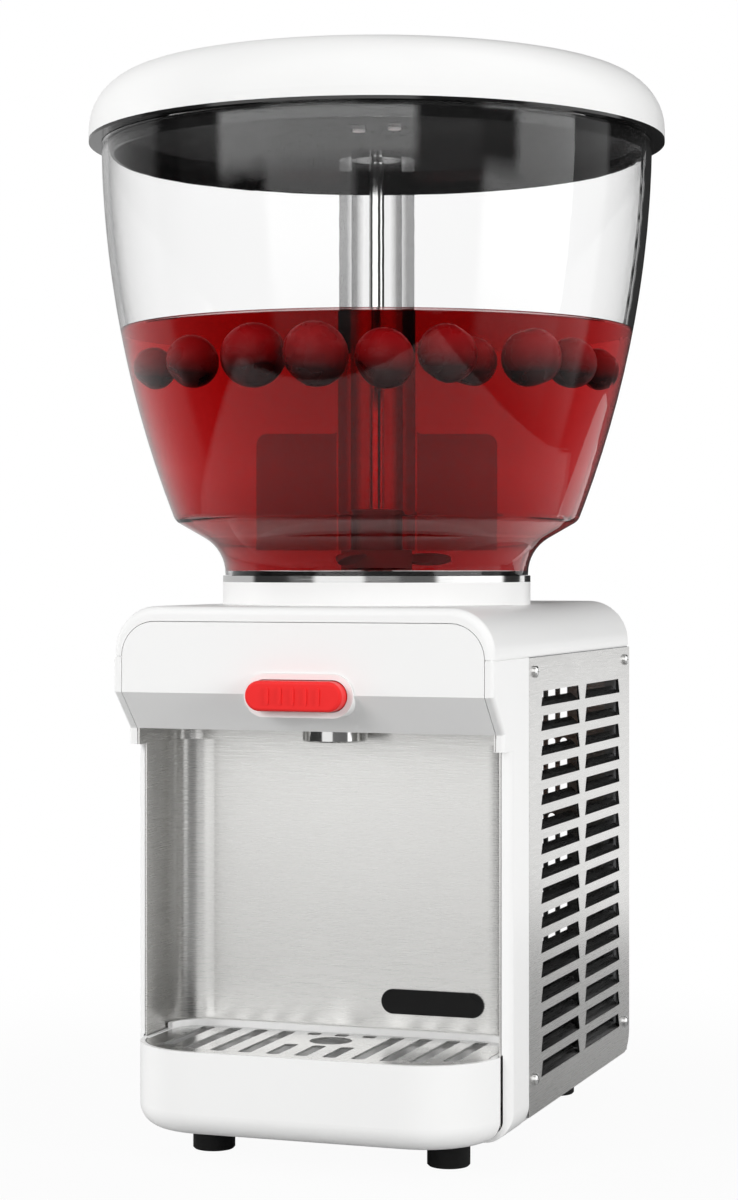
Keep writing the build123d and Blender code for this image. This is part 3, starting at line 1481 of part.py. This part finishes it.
def solids_of(shape):
    """Separate solids of one piece or of a group of pieces."""
    items = shape if isinstance(shape, list) else [shape]
    return [solid for item in items for solid in item.solids()]


right_side_panel = side_panel()
pieces = {
    "base_pan": base_pan(),
    "rubber_feet": rubber_feet(),
    "foot_screws": foot_screws(),
    "frame_uprights": frame_uprights(),
    "support_plate": support_plate(),
    "front_frame": front_frame(),
    "splash_panel": splash_panel(),
    "hood_band": hood_band(),
    "left_side_panel": mirror(right_side_panel, Plane.YZ),
    "right_side_panel": right_side_panel,
    "side_panel_screws": side_panel_screws(),
    "rear_panel": rear_panel(),
    "rear_panel_screws": rear_panel_screws(),
    "top_deck": top_deck(),
    "front_fascia": front_fascia(),
    "badge_plate": badge_plate(),
    "button_collar": button_collar(),
    "push_button": push_button(),
    "valve_spool": valve_spool(),
    "spool_seals": spool_seals(),
    "return_spring": return_spring(),
    "valve_body": valve_body(),
    "outlet_nozzle": outlet_nozzle(),
    "drip_tray": drip_tray(),
    "drip_grid": drip_grid(),
    "seat_ring": seat_ring(),
    "evaporator_well": evaporator_well(),
    "bowl_gasket": bowl_gasket(),
    "bowl": bowl(),
    "lid_shell": lid_shell(),
    "lid_liner": lid_liner(),
    "lid_screws": lid_screws(),
    "spindle": spindle(),
    "stirrer_impeller": stirrer_impeller(),
    "stirrer_bush": stirrer_bush(),
    "follower_magnet": follower_magnet(),
    "stirrer_paddle": stirrer_paddle(),
    "drive_magnet": drive_magnet(),
    "motor_shaft": motor_shaft(),
    "stir_motor": stir_motor(),
    "evaporator_coil": evaporator_coil(),
    "insulation_disc": insulation_disc(),
    "compressor": compressor(),
    "compressor_mounts": compressor_mounts(),
    "relay_box": relay_box(),
    "condenser": condenser(),
    "fan_shroud": fan_shroud(),
    "fan_motor": fan_motor(),
    "fan_rotor": fan_rotor(),
    "filter_drier": filter_drier(),
    "refrigerant_tubes": refrigerant_tubes(),
    "switch_housings": switch_housings(),
    "cooling_rocker": cooling_rocker(),
    "stirring_rocker": stirring_rocker(),
    "thermostat": thermostat(),
    "thermostat_knob": thermostat_knob(),
    "cord_gland": cord_gland(),
}

os.makedirs("parts", exist_ok=True)
for name, shape in pieces.items():
    solids = solids_of(shape)
    body = solids[0] if len(solids) == 1 else Compound(children=solids)
    body.label = name
    export_step(body, f"parts/{name}.step")
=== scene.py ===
import json
import math
import random

import bmesh
import bpy
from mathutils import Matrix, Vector


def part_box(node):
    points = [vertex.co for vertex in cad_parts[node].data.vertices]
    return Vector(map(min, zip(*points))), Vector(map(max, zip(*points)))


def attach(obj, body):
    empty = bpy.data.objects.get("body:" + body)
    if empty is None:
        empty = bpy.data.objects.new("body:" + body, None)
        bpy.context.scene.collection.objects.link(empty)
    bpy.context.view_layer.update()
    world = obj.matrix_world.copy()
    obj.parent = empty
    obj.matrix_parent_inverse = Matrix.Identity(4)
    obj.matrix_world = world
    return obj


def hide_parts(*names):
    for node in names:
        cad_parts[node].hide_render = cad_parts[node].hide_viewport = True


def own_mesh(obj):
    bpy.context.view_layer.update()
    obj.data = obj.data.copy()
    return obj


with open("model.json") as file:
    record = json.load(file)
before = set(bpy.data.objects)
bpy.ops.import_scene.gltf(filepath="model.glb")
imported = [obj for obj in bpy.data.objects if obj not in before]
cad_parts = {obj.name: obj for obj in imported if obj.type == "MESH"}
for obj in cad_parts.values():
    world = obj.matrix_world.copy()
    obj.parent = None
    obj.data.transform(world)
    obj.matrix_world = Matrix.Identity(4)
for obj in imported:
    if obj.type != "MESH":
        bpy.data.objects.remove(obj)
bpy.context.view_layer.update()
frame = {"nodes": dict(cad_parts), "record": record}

# Camera, fitted to the cabinet's corners and the bowl's outline. The sensor lies along the frame's height.
frame_height_px = 1200
camera_distance = 1.750
camera_azimuth = math.radians(19.2)
camera_height = 0.360
camera_focal_px = 2740
camera_sensor = 36.0
camera_clip_start = 0.05
axis_right_of_centre_px = 7.75
horizon_above_centre_px = 35.5

# Juice in the bowl. It reaches a little way into the clear wall, so that it looks wet against it, and it has painted
# shade low down, where its colour is darker.
juice_level = 0.508
juice_wall_overlap = 0.0005
juice_floor_gap = 0.0003
juice_segments = 128
meniscus_rise = 0.0016
meniscus_reach = 0.005
meniscus_steps = (0.25, 0.5, 0.75, 1.0)
# Rings across the juice's floor and surface, as shares of the radius there
floor_ring = 0.5
surface_rings = (0.8, 0.6, 0.4, 0.2)
# The bowl's inner wall is where its faces turn to the axis by more than this. The juice's side follows the points
# of that wall, apart from those within the margins of the juice's floor and surface.
wall_faces_axis = -0.2
juice_floor_margin = 0.001
juice_top_margin = 0.004
juice_ior = 1.03
# Painted shade: the juice's colour is darker below the first height and clear above the second
juice_painted_shade_below = 0.375
juice_clear_above = 0.420
juice_painted_shade = (0.52, 0.30, 0.30)
juice_clear = ((0.95, 0.80, 0.80), (0.90, 0.74, 0.74))
juice_absorbs = (0.78, 0.0, 0.02, 1)
juice_density = 24.0

# Fruit under the surface: angle from the camera's side in degrees, distance from the axis and radius
berries = [
    (-82, 0.138, 0.0135), (-56, 0.134, 0.0165), (-34, 0.131, 0.0200), (-16, 0.131, 0.0200), (2, 0.132, 0.0185),
    (18.5, 0.131, 0.0180), (31, 0.108, 0.0165), (44, 0.133, 0.0185), (60, 0.136, 0.0160), (80, 0.138, 0.0135),
]
berry_sink = 0.022
berry_sink_spread = 0.004
berry_tilt = 0.9
berry_flattest = 0.93
berry_seed = 7
berry_steps = 16
berry_segments = 32
# Dimples at the two ends of a berry: depth as a share of its radius, and reach in radians
first_dimple = (0.16, 0.30)
second_dimple = (0.07, 0.25)
# Painted light and shade on the berries: red where the face turns up, as if lit from above, and dark where it turns
# down
berry_painted_shade_colour = (0.015, 0.001, 0.001)
berry_painted_light_colour = (0.62, 0.020, 0.028)
berry_low_slope = -0.5
berry_high_slope = 0.8

# Lamps: name, place, where it points, size, power and whether it is a card seen in reflections alone. Reflections
# see the panels of the room in place of the other lamps.
lamps = [
    ("key_softbox", (-1.2, -2.3, 1.2), (0, 0, 0.35), 1.2, 31, False),
    ("right_softbox", (2.6, -0.9, 0.75), (0, 0, 0.30), 1.2, 44, False),
    ("left_softbox", (-2.6, -0.6, 0.7), (0, 0, 0.30), 1.2, 21, False),
    ("top_softbox", (0.1, 0.3, 2.3), (0, 0, 0.3), 1.3, 3, False),
    ("side_card", (0.47, 1.0, 0.04), (0.47, 0, 0.04), 0.66, 1.05, True),
]
ambient_low = 0.20
ambient_high = 0.52
ambient_low_below = -0.15
ambient_high_above = 0.05

# What reflections see of the studio: tall pale panels with dark gaps between them. Each row has the bearing
# where a panel or gap starts, in degrees to the right of the camera as seen from the object, and its brightness.
# The low panels fade downwards, and the high ones take over just above the horizon.
room_low_bearings = [(-180, 0.6), (-104, 0.04), (-47, 1.0), (-9, 0.15), (45, 1.4), (108, 0.03)]
room_high_bearings = [(-180, 0.5), (-104, 0.06), (-68, 1.7), (16, 0.06), (60, 1.5), (110, 0.03)]
room_soft_edge = 4.0
room_low_share = 0.12
room_dark_below = -0.40
room_bright_above = -0.08
room_high_from = 0.0
room_high_full = 0.05
half_turn_degrees = 180.0
# How bright the panels look, by the number of clear faces on the way: on metal and plastic, in the front of the
# bowl, in its far wall and on the spindle
room_levels = [(0, 1.0), (0.5, 4.0), (2.5, 0.8), (6.5, 1.2)]
faces_limit = 12
faces_soft_edge = 0.5
# What clear pieces see behind the object when they reflect inside: bright at the left, dark elsewhere
behind_bearings = [(-180, 0.03), (-172, 0.4), (-104, 0.04), (100, 0.03)]
# The underside of the juice's surface mirrors the white background: six clear faces away, ten past the tube
juice_faces = [(0, 0.0), (5.5, 1.0), (6.5, 0.0), (9.5, 1.0)]
juice_behind = 0.8
# The kinds of ray that see the white background itself
background_rays = ("Is Camera Ray", "Is Transmission Ray")

floor_size = 2.4
floor_fade_from = 0.25
floor_fade_to = 0.70
floor_near_share = 0.95
floor_colour = 0.50
floor_roughness = 0.9

# The side panels have painted shade in the depth of their slots: they are dark from just behind the outer face
slot_painted_shade = (0.09, 0.09, 0.09)
slot_dark_depth = 0.0004
slot_bright_depth = 0.0001
# The paddle's painted shade greys its tube between these turns of its wall, and greys its fins from this far outside
# the tube
tube_grey_from = 0.15
tube_grey_to = 0.40
fin_start = 0.001
paddle_haze = 0.03


def add(made, kind, inputs=None, **settings):
    """A new node in the tree of a material or the world. Inputs that are sockets get linked, the others are set."""
    node = made.node_tree.nodes.new(kind)
    for name, value in settings.items():
        setattr(node, name, value)
    for name, value in (inputs or {}).items():
        socket = node.inputs[name]
        if isinstance(value, bpy.types.NodeSocket):
            made.node_tree.links.new(value, socket)
        else:
            socket.default_value = value
    return node


def principled(name, **values):
    """A material with a principled shader whose constant sockets are set by their names."""
    made = bpy.data.materials.new(name)
    made.use_nodes = True
    shader = made.node_tree.nodes["Principled BSDF"]
    for socket, value in values.items():
        shader.inputs[socket.replace("_", " ")].default_value = value
    return made, shader


def feed(made, shader, **sockets):
    """Links node outputs to the shader's sockets."""
    for name, value in sockets.items():
        made.node_tree.links.new(value, shader.inputs[name.replace("_", " ")])


def compute(made, operation, *values):
    """The result of an operation on one or two numbers."""
    return add(made, "ShaderNodeMath", dict(enumerate(values)), operation=operation).outputs["Value"]


def measure(made, operation, *vectors):
    """A number worked out from one or two vectors."""
    return add(made, "ShaderNodeVectorMath", dict(enumerate(vectors)), operation=operation).outputs["Value"]


def component(made, vector, axis):
    return add(made, "ShaderNodeSeparateXYZ", {"Vector": vector}).outputs[axis]


def blend(made, share, first, second):
    """A number between two, by a share from 0 to 1."""
    return add(made, "ShaderNodeMix", {"Factor": share, "A": first, "B": second}).outputs["Result"]


def place(made, scale=(1, 1, 1)):
    """Coordinates fixed to the piece, stretched along its axes."""
    where = add(made, "ShaderNodeTexCoord").outputs["Object"]
    return add(made, "ShaderNodeMapping", {"Vector": where, "Scale": scale}).outputs["Vector"]


def noise(made, scale, detail=3.0, stretch=(1, 1, 1), rough=0.5):
    return add(made, "ShaderNodeTexNoise", {
        "Vector": place(made, stretch), "Scale": scale, "Detail": detail, "Roughness": rough}).outputs["Fac"]


def spread(made, value, low, high, from_low=0.3, from_high=0.7, **settings):
    """Maps a value to the range low to high, from the usual range of a texture unless another is given."""
    return add(made, "ShaderNodeMapRange", {
        "Value": value, "From Min": from_low, "From Max": from_high, "To Min": low,
        "To Max": high}, **settings).outputs["Result"]


def tint(made, value, first, second):
    """A colour between two, by a value from 0 to 1."""
    mix = add(made, "ShaderNodeMix", data_type="RGBA")
    made.node_tree.links.new(value, mix.inputs["Factor"])
    for socket, colour in ((mix.inputs[6], first), (mix.inputs[7], second)):
        if isinstance(colour, tuple):
            socket.default_value = (*colour, 1)
        else:
            made.node_tree.links.new(colour, socket)
    return mix.outputs[2]


def bump(made, height, strength, distance):
    return add(made, "ShaderNodeBump", {
        "Height": height, "Strength": strength, "Distance": distance}).outputs["Normal"]


def turned_from_view(made):
    """How far a face turns from the line of sight, from 0 to 1."""
    return add(made, "ShaderNodeLayerWeight", {"Blend": 0.5}).outputs["Facing"]


def moulded(name, first, second, rough_low, rough_high, grain=900, grain_depth=0.00001, **values):
    """Moulded plastic: faint colour drift, uneven gloss and a fine skin texture."""
    made, shader = principled(name, **values)
    drift = spread(made, noise(made, scale=9, detail=4), 0, 1)
    gloss = spread(made, noise(made, scale=12, detail=2), rough_low, rough_high)
    skin = bump(made, noise(made, scale=grain, detail=2), strength=0.2, distance=grain_depth)
    feed(made, shader, Base_Color=tint(made, drift, first, second), Roughness=gloss, Normal=skin)
    return made


def brushed(name, first, second, rough_low, rough_high, along=(1, 1, 60), depth=0.00001, face_x=None, **values):
    """Brushed sheet: long fine level scratches over a slight drift in tone, which spread reflections upwards.

    With face_x, the outer face is at that distance from the middle, and what lies deeper gets painted shade, a dark
    colour.
    """
    made, shader = principled(name, Metallic=1.0, **values)
    scratches = noise(made, scale=45, detail=6, stretch=along, rough=0.7)
    drift = spread(made, noise(made, scale=6, detail=3), 0, 1)
    around = add(made, "ShaderNodeTangent", direction_type="RADIAL", axis="Z").outputs["Tangent"]
    colour = tint(made, drift, first, second)
    if face_x:
        from_middle = compute(made, "ABSOLUTE", component(made, place(made), "X"))
        # Painted shade in the slots, deeper than the outer face
        on_face = spread(made, from_middle, 0, 1, face_x - slot_dark_depth, face_x - slot_bright_depth)
        colour = tint(made, on_face, slot_painted_shade, colour)
    feed(made, shader, Base_Color=colour, Roughness=spread(made, scratches, rough_low, rough_high),
         Normal=bump(made, scratches, strength=0.1, distance=depth), Tangent=around)
    return made


def glass(name, clear, edge, edge_from, rough, ior, **values):
    """Clear plastic with painted shade where it is seen edge on, which darkens its colour there, and a faint haze
    that varies over it.
    """
    made, shader = principled(name, Transmission_Weight=1.0, IOR=ior, **values)
    haze = spread(made, noise(made, scale=14, detail=3), 0.0, rough)
    # Painted shade at the edges that turn from the view
    turned_away = spread(made, turned_from_view(made), 0, 1, edge_from, 1.0)
    feed(made, shader, Roughness=haze, Base_Color=tint(made, turned_away, clear, edge))
    return made


def paddle_plastic(name, clear, edge, tube_share, fin_share, tube_radius, ior):
    """Clear plastic for a tube with fins, with painted shade: the tube greys where its wall turns away, the fins all
    over.
    """
    made, shader = principled(name, Transmission_Weight=1.0, IOR=ior)
    turned_away = spread(made, turned_from_view(made), 0, tube_share, tube_grey_from, tube_grey_to)
    level = add(made, "ShaderNodeVectorMath", {0: place(made), 1: (1, 1, 0)}, operation="MULTIPLY")
    radius = measure(made, "LENGTH", level.outputs["Vector"])
    fin = spread(made, radius, 0, fin_share, tube_radius, tube_radius + fin_start)
    # Painted shade on the tube's turned wall and on the fins
    shade = compute(made, "MAXIMUM", turned_away, fin)
    feed(made, shader, Roughness=spread(made, noise(made, scale=14, detail=3), 0.0, paddle_haze),
         Base_Color=tint(made, shade, clear, edge))
    return made


stainless = {
    "first": (0.74, 0.735, 0.72), "second": (0.70, 0.695, 0.68), "rough_low": 0.22, "rough_high": 0.36,
    "Anisotropic": 0.6, "Anisotropic_Rotation": 0.25,
}
# Finishes by slot: two tones that the colour drifts between, the range of roughness, and then the fineness and
# depth of a moulded skin or the stretch of the scratches, where they aren't the usual ones
materials = {
    "white_plastic": moulded("white_plastic", (0.87, 0.87, 0.865), (0.86, 0.86, 0.855), 0.28, 0.30,
                             Specular_IOR_Level=0.2),
    "red_plastic": moulded("red_plastic", (0.84, 0.022, 0.022), (0.77, 0.017, 0.017), 0.30, 0.40, 700,
                           Specular_IOR_Level=0.3),
    "black_plastic": moulded("black_plastic", (0.012, 0.012, 0.012), (0.018, 0.018, 0.018), 0.10, 0.18),
    "natural_plastic": moulded("natural_plastic", (0.78, 0.76, 0.70), (0.72, 0.70, 0.64), 0.35, 0.5),
    "grey_plastic": moulded("grey_plastic", (0.20, 0.20, 0.21), (0.16, 0.16, 0.17), 0.4, 0.55),
    "foam": moulded("foam", (0.62, 0.58, 0.42), (0.50, 0.46, 0.32), 0.8, 0.95, 260, 0.0004),
    # The second colour of the clear pieces is the grey of painted shade: at the bowl's edges seen side on, and on
    # the paddle
    "clear_bowl": glass("clear_bowl", (0.99, 0.99, 0.99), (0.75, 0.75, 0.75), edge_from=0.72, rough=0.02, ior=1.18,
                        Coat_Weight=0.2, Coat_IOR=1.5, Coat_Roughness=0.02),
    "clear_paddle": paddle_plastic("clear_paddle", (0.97, 0.97, 0.97), (0.10, 0.10, 0.10), tube_share=0.71,
                                   fin_share=0.56, tube_radius=0.0245, ior=1.01),
    "stainless": brushed("stainless", **stainless),
    "zinc_sheet": brushed("zinc_sheet", (0.55, 0.56, 0.57), (0.45, 0.46, 0.47), 0.35, 0.55, (4, 4, 4)),
    "polished_steel": brushed("polished_steel", (0.80, 0.80, 0.795), (0.74, 0.74, 0.735), 0.05, 0.14),
    "black_rubber": moulded("black_rubber", (0.007, 0.007, 0.007), (0.012, 0.012, 0.012), 0.55, 0.75, 500, 0.0001,
                            Specular_IOR_Level=0.2),
    "copper": brushed("copper", (0.80, 0.42, 0.28), (0.60, 0.28, 0.17), 0.2, 0.4, (6, 6, 6)),
    "black_paint": moulded("black_paint", (0.014, 0.014, 0.015), (0.022, 0.022, 0.023), 0.3, 0.45, 350, 0.0001),
    "motor_paint": moulded("motor_paint", (0.16, 0.17, 0.18), (0.11, 0.12, 0.13), 0.4, 0.55, 350, 0.0001),
    "fin_aluminium": brushed("fin_aluminium", (0.78, 0.79, 0.80), (0.66, 0.67, 0.68), 0.3, 0.45, (2, 8, 8)),
    "magnet": moulded("magnet", (0.045, 0.045, 0.05), (0.03, 0.03, 0.034), 0.4, 0.6, 300, 0.0001),
}
# Pieces whose finish differs from the rest of their slot: the side panels have painted shade in the depth of their
# slots, the grid is less polished than the other steel, the liner's screws are pale and dull, and the liner is
# glossier and the badge plate duller than the other black plastic
side_panel = brushed("side_panel", face_x=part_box("right_side_panel")[1].x, **stainless)
own_finish = {
    "left_side_panel": side_panel,
    "right_side_panel": side_panel,
    "drip_grid": brushed("grid_steel", (0.70, 0.70, 0.695), (0.64, 0.64, 0.635), 0.20, 0.32),
    "lid_screws": moulded("screw_zinc", (0.80, 0.80, 0.80), (0.70, 0.70, 0.70), 0.35, 0.45, Metallic=0.3),
    "lid_liner": moulded("liner_black", (0.006, 0.006, 0.006), (0.010, 0.010, 0.010), 0.05, 0.09),
    "badge_plate": moulded("badge_black", (0.006, 0.006, 0.006), (0.010, 0.010, 0.010), 0.25, 0.35,
                           Specular_IOR_Level=0.15),
}
subparts = frame["record"]["subparts"]
for subpart in subparts:
    node = frame["nodes"][subpart["node"]]
    finish = own_finish.get(subpart["node"], materials[subpart["material_slot"]])
    if node.material_slots:
        for held in node.material_slots:
            held.material = finish
    else:
        node.data.materials.append(finish)


# A copy of the return spring rides on the cabinet in place of the original, with a mesh of its own
coil = bpy.data.objects.new("return_coil", frame["nodes"]["return_spring"].data.copy())
bpy.context.scene.collection.objects.link(coil)
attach(coil, "cabinet")
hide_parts("return_spring")
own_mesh(coil)


def mesh_object(name, shape, finish, body):
    """A new piece from a bmesh, smooth shaded, that rides on a body."""
    bmesh.ops.recalc_face_normals(shape, faces=shape.faces)
    mesh = bpy.data.meshes.new(name)
    shape.to_mesh(mesh)
    shape.free()
    mesh.polygons.foreach_set("use_smooth", [True] * len(mesh.polygons))
    mesh.materials.append(finish)
    piece = bpy.data.objects.new(name, mesh)
    bpy.context.scene.collection.objects.link(piece)
    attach(piece, body)
    return piece


def spun(profile, segments):
    """A closed solid of revolution about Z from (radius, height) points that start and end on the axis."""
    shape = bmesh.new()
    rings = []
    for radius, height in profile:
        if radius == 0:
            rings.append([shape.verts.new((0, 0, height))])
            continue
        turns = [2 * math.pi * i / segments for i in range(segments)]
        rings.append([shape.verts.new((radius * math.cos(t), radius * math.sin(t), height)) for t in turns])
    for low, high in zip(rings, rings[1:]):
        for i in range(segments):
            j = (i + 1) % segments
            corners = [low[i % len(low)], low[j % len(low)], high[j % len(high)], high[i % len(high)]]
            shape.faces.new(dict.fromkeys(corners))
    return shape


def inner_wall():
    """(height, radius) points up the inside of the bowl, read from its solid."""
    points = set()
    for vertex in frame["nodes"]["bowl"].data.vertices:
        radius = math.hypot(vertex.co.x, vertex.co.y)
        if vertex.co.x * vertex.normal.x + vertex.co.y * vertex.normal.y < wall_faces_axis * radius:
            points.add((round(vertex.co.z, 4), round(radius, 4)))
    return sorted(points)


def wall_radius(wall, height):
    """The radius at a height, between the points of a wall."""
    for (z0, r0), (z1, r1) in zip(wall, wall[1:]):
        if z0 <= height <= z1 and z1 > z0:
            return r0 + (r1 - r0) * (height - z0) / (z1 - z0)
    return wall[0][1] if height < wall[0][0] else wall[-1][1]


def juice_profile():
    """(radius, height) points of the juice: floor, wall, the rise of its edge at the wall, and surface."""
    wall = inner_wall()
    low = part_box("evaporator_well")[1].z + juice_floor_gap
    heights = [low]
    heights += [z for z, _ in wall if low + juice_floor_margin < z < juice_level - juice_top_margin]
    heights += [juice_level + meniscus_rise]
    side = [(wall_radius(wall, z) + juice_wall_overlap, z) for z in heights]
    rim = side[-1][0]
    curve = [(rim - meniscus_reach * t, juice_level + meniscus_rise * (1 - t) ** 2) for t in meniscus_steps]
    surface = [(rim * share, juice_level) for share in surface_rings]
    return [(0, low), (side[0][0] * floor_ring, low)] + side + curve + surface + [(0, juice_level)]


def juice_material():
    """Clear red liquid that absorbs light in its depth, with painted shade that darkens its colour low down."""
    made, shader = principled("juice", Transmission_Weight=1.0, IOR=juice_ior, Roughness=0.0)
    clear = tint(made, spread(made, noise(made, scale=8, detail=3), 0, 1), *juice_clear)
    height = component(made, place(made), "Z")
    # Painted shade: the colour darkens towards the bottom of the juice
    high = spread(made, height, 0, 1, juice_painted_shade_below, juice_clear_above)
    feed(made, shader, Base_Color=tint(made, high, juice_painted_shade, clear))
    absorb = add(made, "ShaderNodeVolumeAbsorption", {"Color": juice_absorbs, "Density": juice_density})
    made.node_tree.links.new(absorb.outputs["Volume"], made.node_tree.nodes["Material Output"].inputs["Volume"])
    return made


def berry_material():
    """Berry skin, with painted light and shade: red where it faces up and dark where it faces down."""
    made, shader = principled("berry_skin", Specular_IOR_Level=0.2)
    slope = component(made, add(made, "ShaderNodeNewGeometry").outputs["Normal"], "Z")
    # Painted light and shade by how far the face turns up
    upwards = spread(made, slope, 0, 1, berry_low_slope, berry_high_slope)
    feed(made, shader, Roughness=spread(made, noise(made, scale=60, detail=3), 0.2, 0.4),
         Base_Color=tint(made, upwards, berry_painted_shade_colour, berry_painted_light_colour),
         Normal=bump(made, noise(made, scale=260, detail=2), strength=0.2, distance=0.0001))
    return made


def berry_outline(radius):
    """(radius, height) points of a berry with a dimple at either end."""
    points = []
    for step in range(berry_steps + 1):
        turn = math.pi * step / berry_steps
        reach = 1
        for (depth, width), from_end in ((first_dimple, turn), (second_dimple, math.pi - turn)):
            reach -= depth * math.exp(-(from_end / width) ** 2)
        points.append((radius * math.sin(turn) if 0 < step < berry_steps else 0, -radius * reach * math.cos(turn)))
    return points


mesh_object("juice", spun(juice_profile(), juice_segments), juice_material(), "bowl")
berry_skin = berry_material()
draws = random.Random(berry_seed)
for number, (angle, reach, radius) in enumerate(berries, 1):
    berry = mesh_object(f"berry_{number:02d}", spun(berry_outline(radius), berry_segments), berry_skin, "bowl")
    heading = camera_azimuth + math.radians(angle)
    level = juice_level - berry_sink - draws.uniform(0, berry_sink_spread)
    berry.rotation_euler = [draws.uniform(-berry_tilt, berry_tilt) for _ in range(3)]
    berry.location = (reach * math.sin(heading), -reach * math.cos(heading), level)
    berry.scale = (1, 1, draws.uniform(berry_flattest, 1.0))


def ray_share(made, names):
    """One where a ray is of any of the named kinds."""
    path = add(made, "ShaderNodeLightPath")
    total = path.outputs[names[0]]
    for name in names[1:]:
        total = compute(made, "MAXIMUM", total, path.outputs[name])
    return total


def banded(made, value, low, high, rows, soft):
    """A brightness by bands: rows of where a band starts, in rising order, and its level, with soft edges."""
    ramp = add(made, "ShaderNodeValToRGB", {"Fac": spread(made, value, 0, 1, low, high)})
    stops = ramp.color_ramp.elements
    stops.remove(stops[1])
    stops[0].position = 0.0
    brightest = max(level for _, level in rows)
    stops[0].color = (rows[0][1] / brightest,) * 3 + (1,)
    for (_, before), (start, level) in zip(rows, rows[1:]):
        for edge, tone in ((start - soft / 2, before / brightest), (start + soft / 2, level / brightest)):
            stop = stops.new((edge - low) / (high - low))
            stop.color = (tone, tone, tone, 1)
    return compute(made, "MULTIPLY", ramp.outputs["Color"], brightest)


def white_world():
    """White where the camera and clear pieces look, the panelled room in reflections, and a plain ambient level."""
    world = bpy.data.worlds.new("studio")
    bpy.context.scene.world = world
    world.use_nodes = True

    # Where a ray goes, and what it has passed
    direction = add(world, "ShaderNodeTexCoord").outputs["Generated"]
    height = component(world, direction, "Z")
    to_camera = (math.sin(camera_azimuth), -math.cos(camera_azimuth), 0)
    to_right = (math.cos(camera_azimuth), math.sin(camera_azimuth), 0)
    facing, sideways = [measure(world, "DOT_PRODUCT", direction, axis) for axis in (to_camera, to_right)]
    degrees = compute(world, "DEGREES", compute(world, "ARCTAN2", sideways, facing))
    path = add(world, "ShaderNodeLightPath")
    faces = path.outputs["Transmission Depth"]
    low_panels, high_panels, behind_room = [
        banded(world, degrees, -half_turn_degrees, half_turn_degrees, rows, room_soft_edge)
        for rows in (room_low_bearings, room_high_bearings, behind_bearings)]
    room_level, in_juice = [
        banded(world, faces, 0.0, faces_limit, rows, faces_soft_edge) for rows in (room_levels, juice_faces)]

    # The room in reflections
    upright = spread(world, height, room_low_share, 1.0, room_dark_below, room_bright_above,
                     interpolation_type="SMOOTHSTEP")
    low_room = compute(world, "MULTIPLY", low_panels, upright)
    room = blend(world, spread(world, height, 0, 1, room_high_from, room_high_full), low_room, high_panels)
    around = compute(world, "MULTIPLY", room, room_level)

    # What clear pieces mirror from behind the object
    behind = compute(world, "LESS_THAN", facing, 0.0)
    inside = compute(world, "MINIMUM", compute(world, "MULTIPLY", faces, behind), 1.0)
    backdrop = blend(world, in_juice, behind_room, juice_behind)
    mirrored = blend(world, inside, around, backdrop)

    # The ambient level, white for rays that see the background, and the room for rays that have been mirrored
    ambient = spread(world, height, ambient_low, ambient_high, ambient_low_below, ambient_high_above)
    straight = blend(world, ray_share(world, background_rays), ambient, 1.0)
    bounced = compute(world, "MULTIPLY", path.outputs["Glossy Depth"], path.outputs["Is Glossy Ray"])
    strength = blend(world, compute(world, "MINIMUM", bounced, 1.0), straight, mirrored)
    white = world.node_tree.nodes["Background"]
    white.inputs["Color"].default_value = (1, 1, 1, 1)
    world.node_tree.links.new(strength, white.inputs["Strength"])


def pale_floor():
    """A floor that keeps the shadow near the object and fades into the white background."""
    shape = bmesh.new()
    bmesh.ops.create_grid(shape, x_segments=1, y_segments=1, size=floor_size / 2)
    mesh = bpy.data.meshes.new("floor")
    shape.to_mesh(mesh)
    shape.free()
    floor = bpy.data.objects.new("floor", mesh)
    bpy.context.scene.collection.objects.link(floor)
    made, shader = principled("floor", Base_Color=(floor_colour, floor_colour, floor_colour, 1),
                              Roughness=floor_roughness, Specular_IOR_Level=0.0)
    share = spread(made, measure(made, "LENGTH", place(made)), floor_near_share, 1.0, floor_fade_from, floor_fade_to,
                   interpolation_type="SMOOTHSTEP")
    weight = compute(made, "MULTIPLY", share, ray_share(made, background_rays))
    white = add(made, "ShaderNodeEmission", {"Color": (1, 1, 1, 1), "Strength": 1.0})
    mix = add(made, "ShaderNodeMixShader", {
        "Fac": weight, 1: shader.outputs["BSDF"], 2: white.outputs["Emission"]})
    made.node_tree.links.new(mix.outputs["Shader"], made.node_tree.nodes["Material Output"].inputs["Surface"])
    mesh.materials.append(made)


def lamp(name, position, target, size, power, card):
    """A round soft lamp that clear pieces don't show. A card shows in reflections and lights nothing else."""
    light = bpy.data.lights.new(name, "AREA")
    light.shape = "DISK"
    light.size = size
    light.energy = power
    made = bpy.data.objects.new(name, light)
    made.location = position
    made.rotation_euler = (Vector(target) - Vector(position)).to_track_quat("-Z", "Y").to_euler()
    made.visible_glossy = card
    made.visible_diffuse = not card
    made.visible_transmission = False
    bpy.context.scene.collection.objects.link(made)


white_world()
pale_floor()
for row in lamps:
    lamp(*row)

view = bpy.data.cameras.new("camera")
view.sensor_fit = "VERTICAL"
view.sensor_height = camera_sensor
view.lens = camera_focal_px * camera_sensor / frame_height_px
view.shift_x = -axis_right_of_centre_px / frame_height_px
view.shift_y = -horizon_above_centre_px / frame_height_px
view.clip_start = camera_clip_start
camera = bpy.data.objects.new("camera", view)
camera.location = (
    camera_distance * math.sin(camera_azimuth), -camera_distance * math.cos(camera_azimuth), camera_height)
camera.rotation_euler = (math.radians(90), 0, camera_azimuth)
bpy.context.scene.collection.objects.link(camera)
bpy.context.scene.camera = camera
bpy.context.scene.view_settings.view_transform = "Standard"
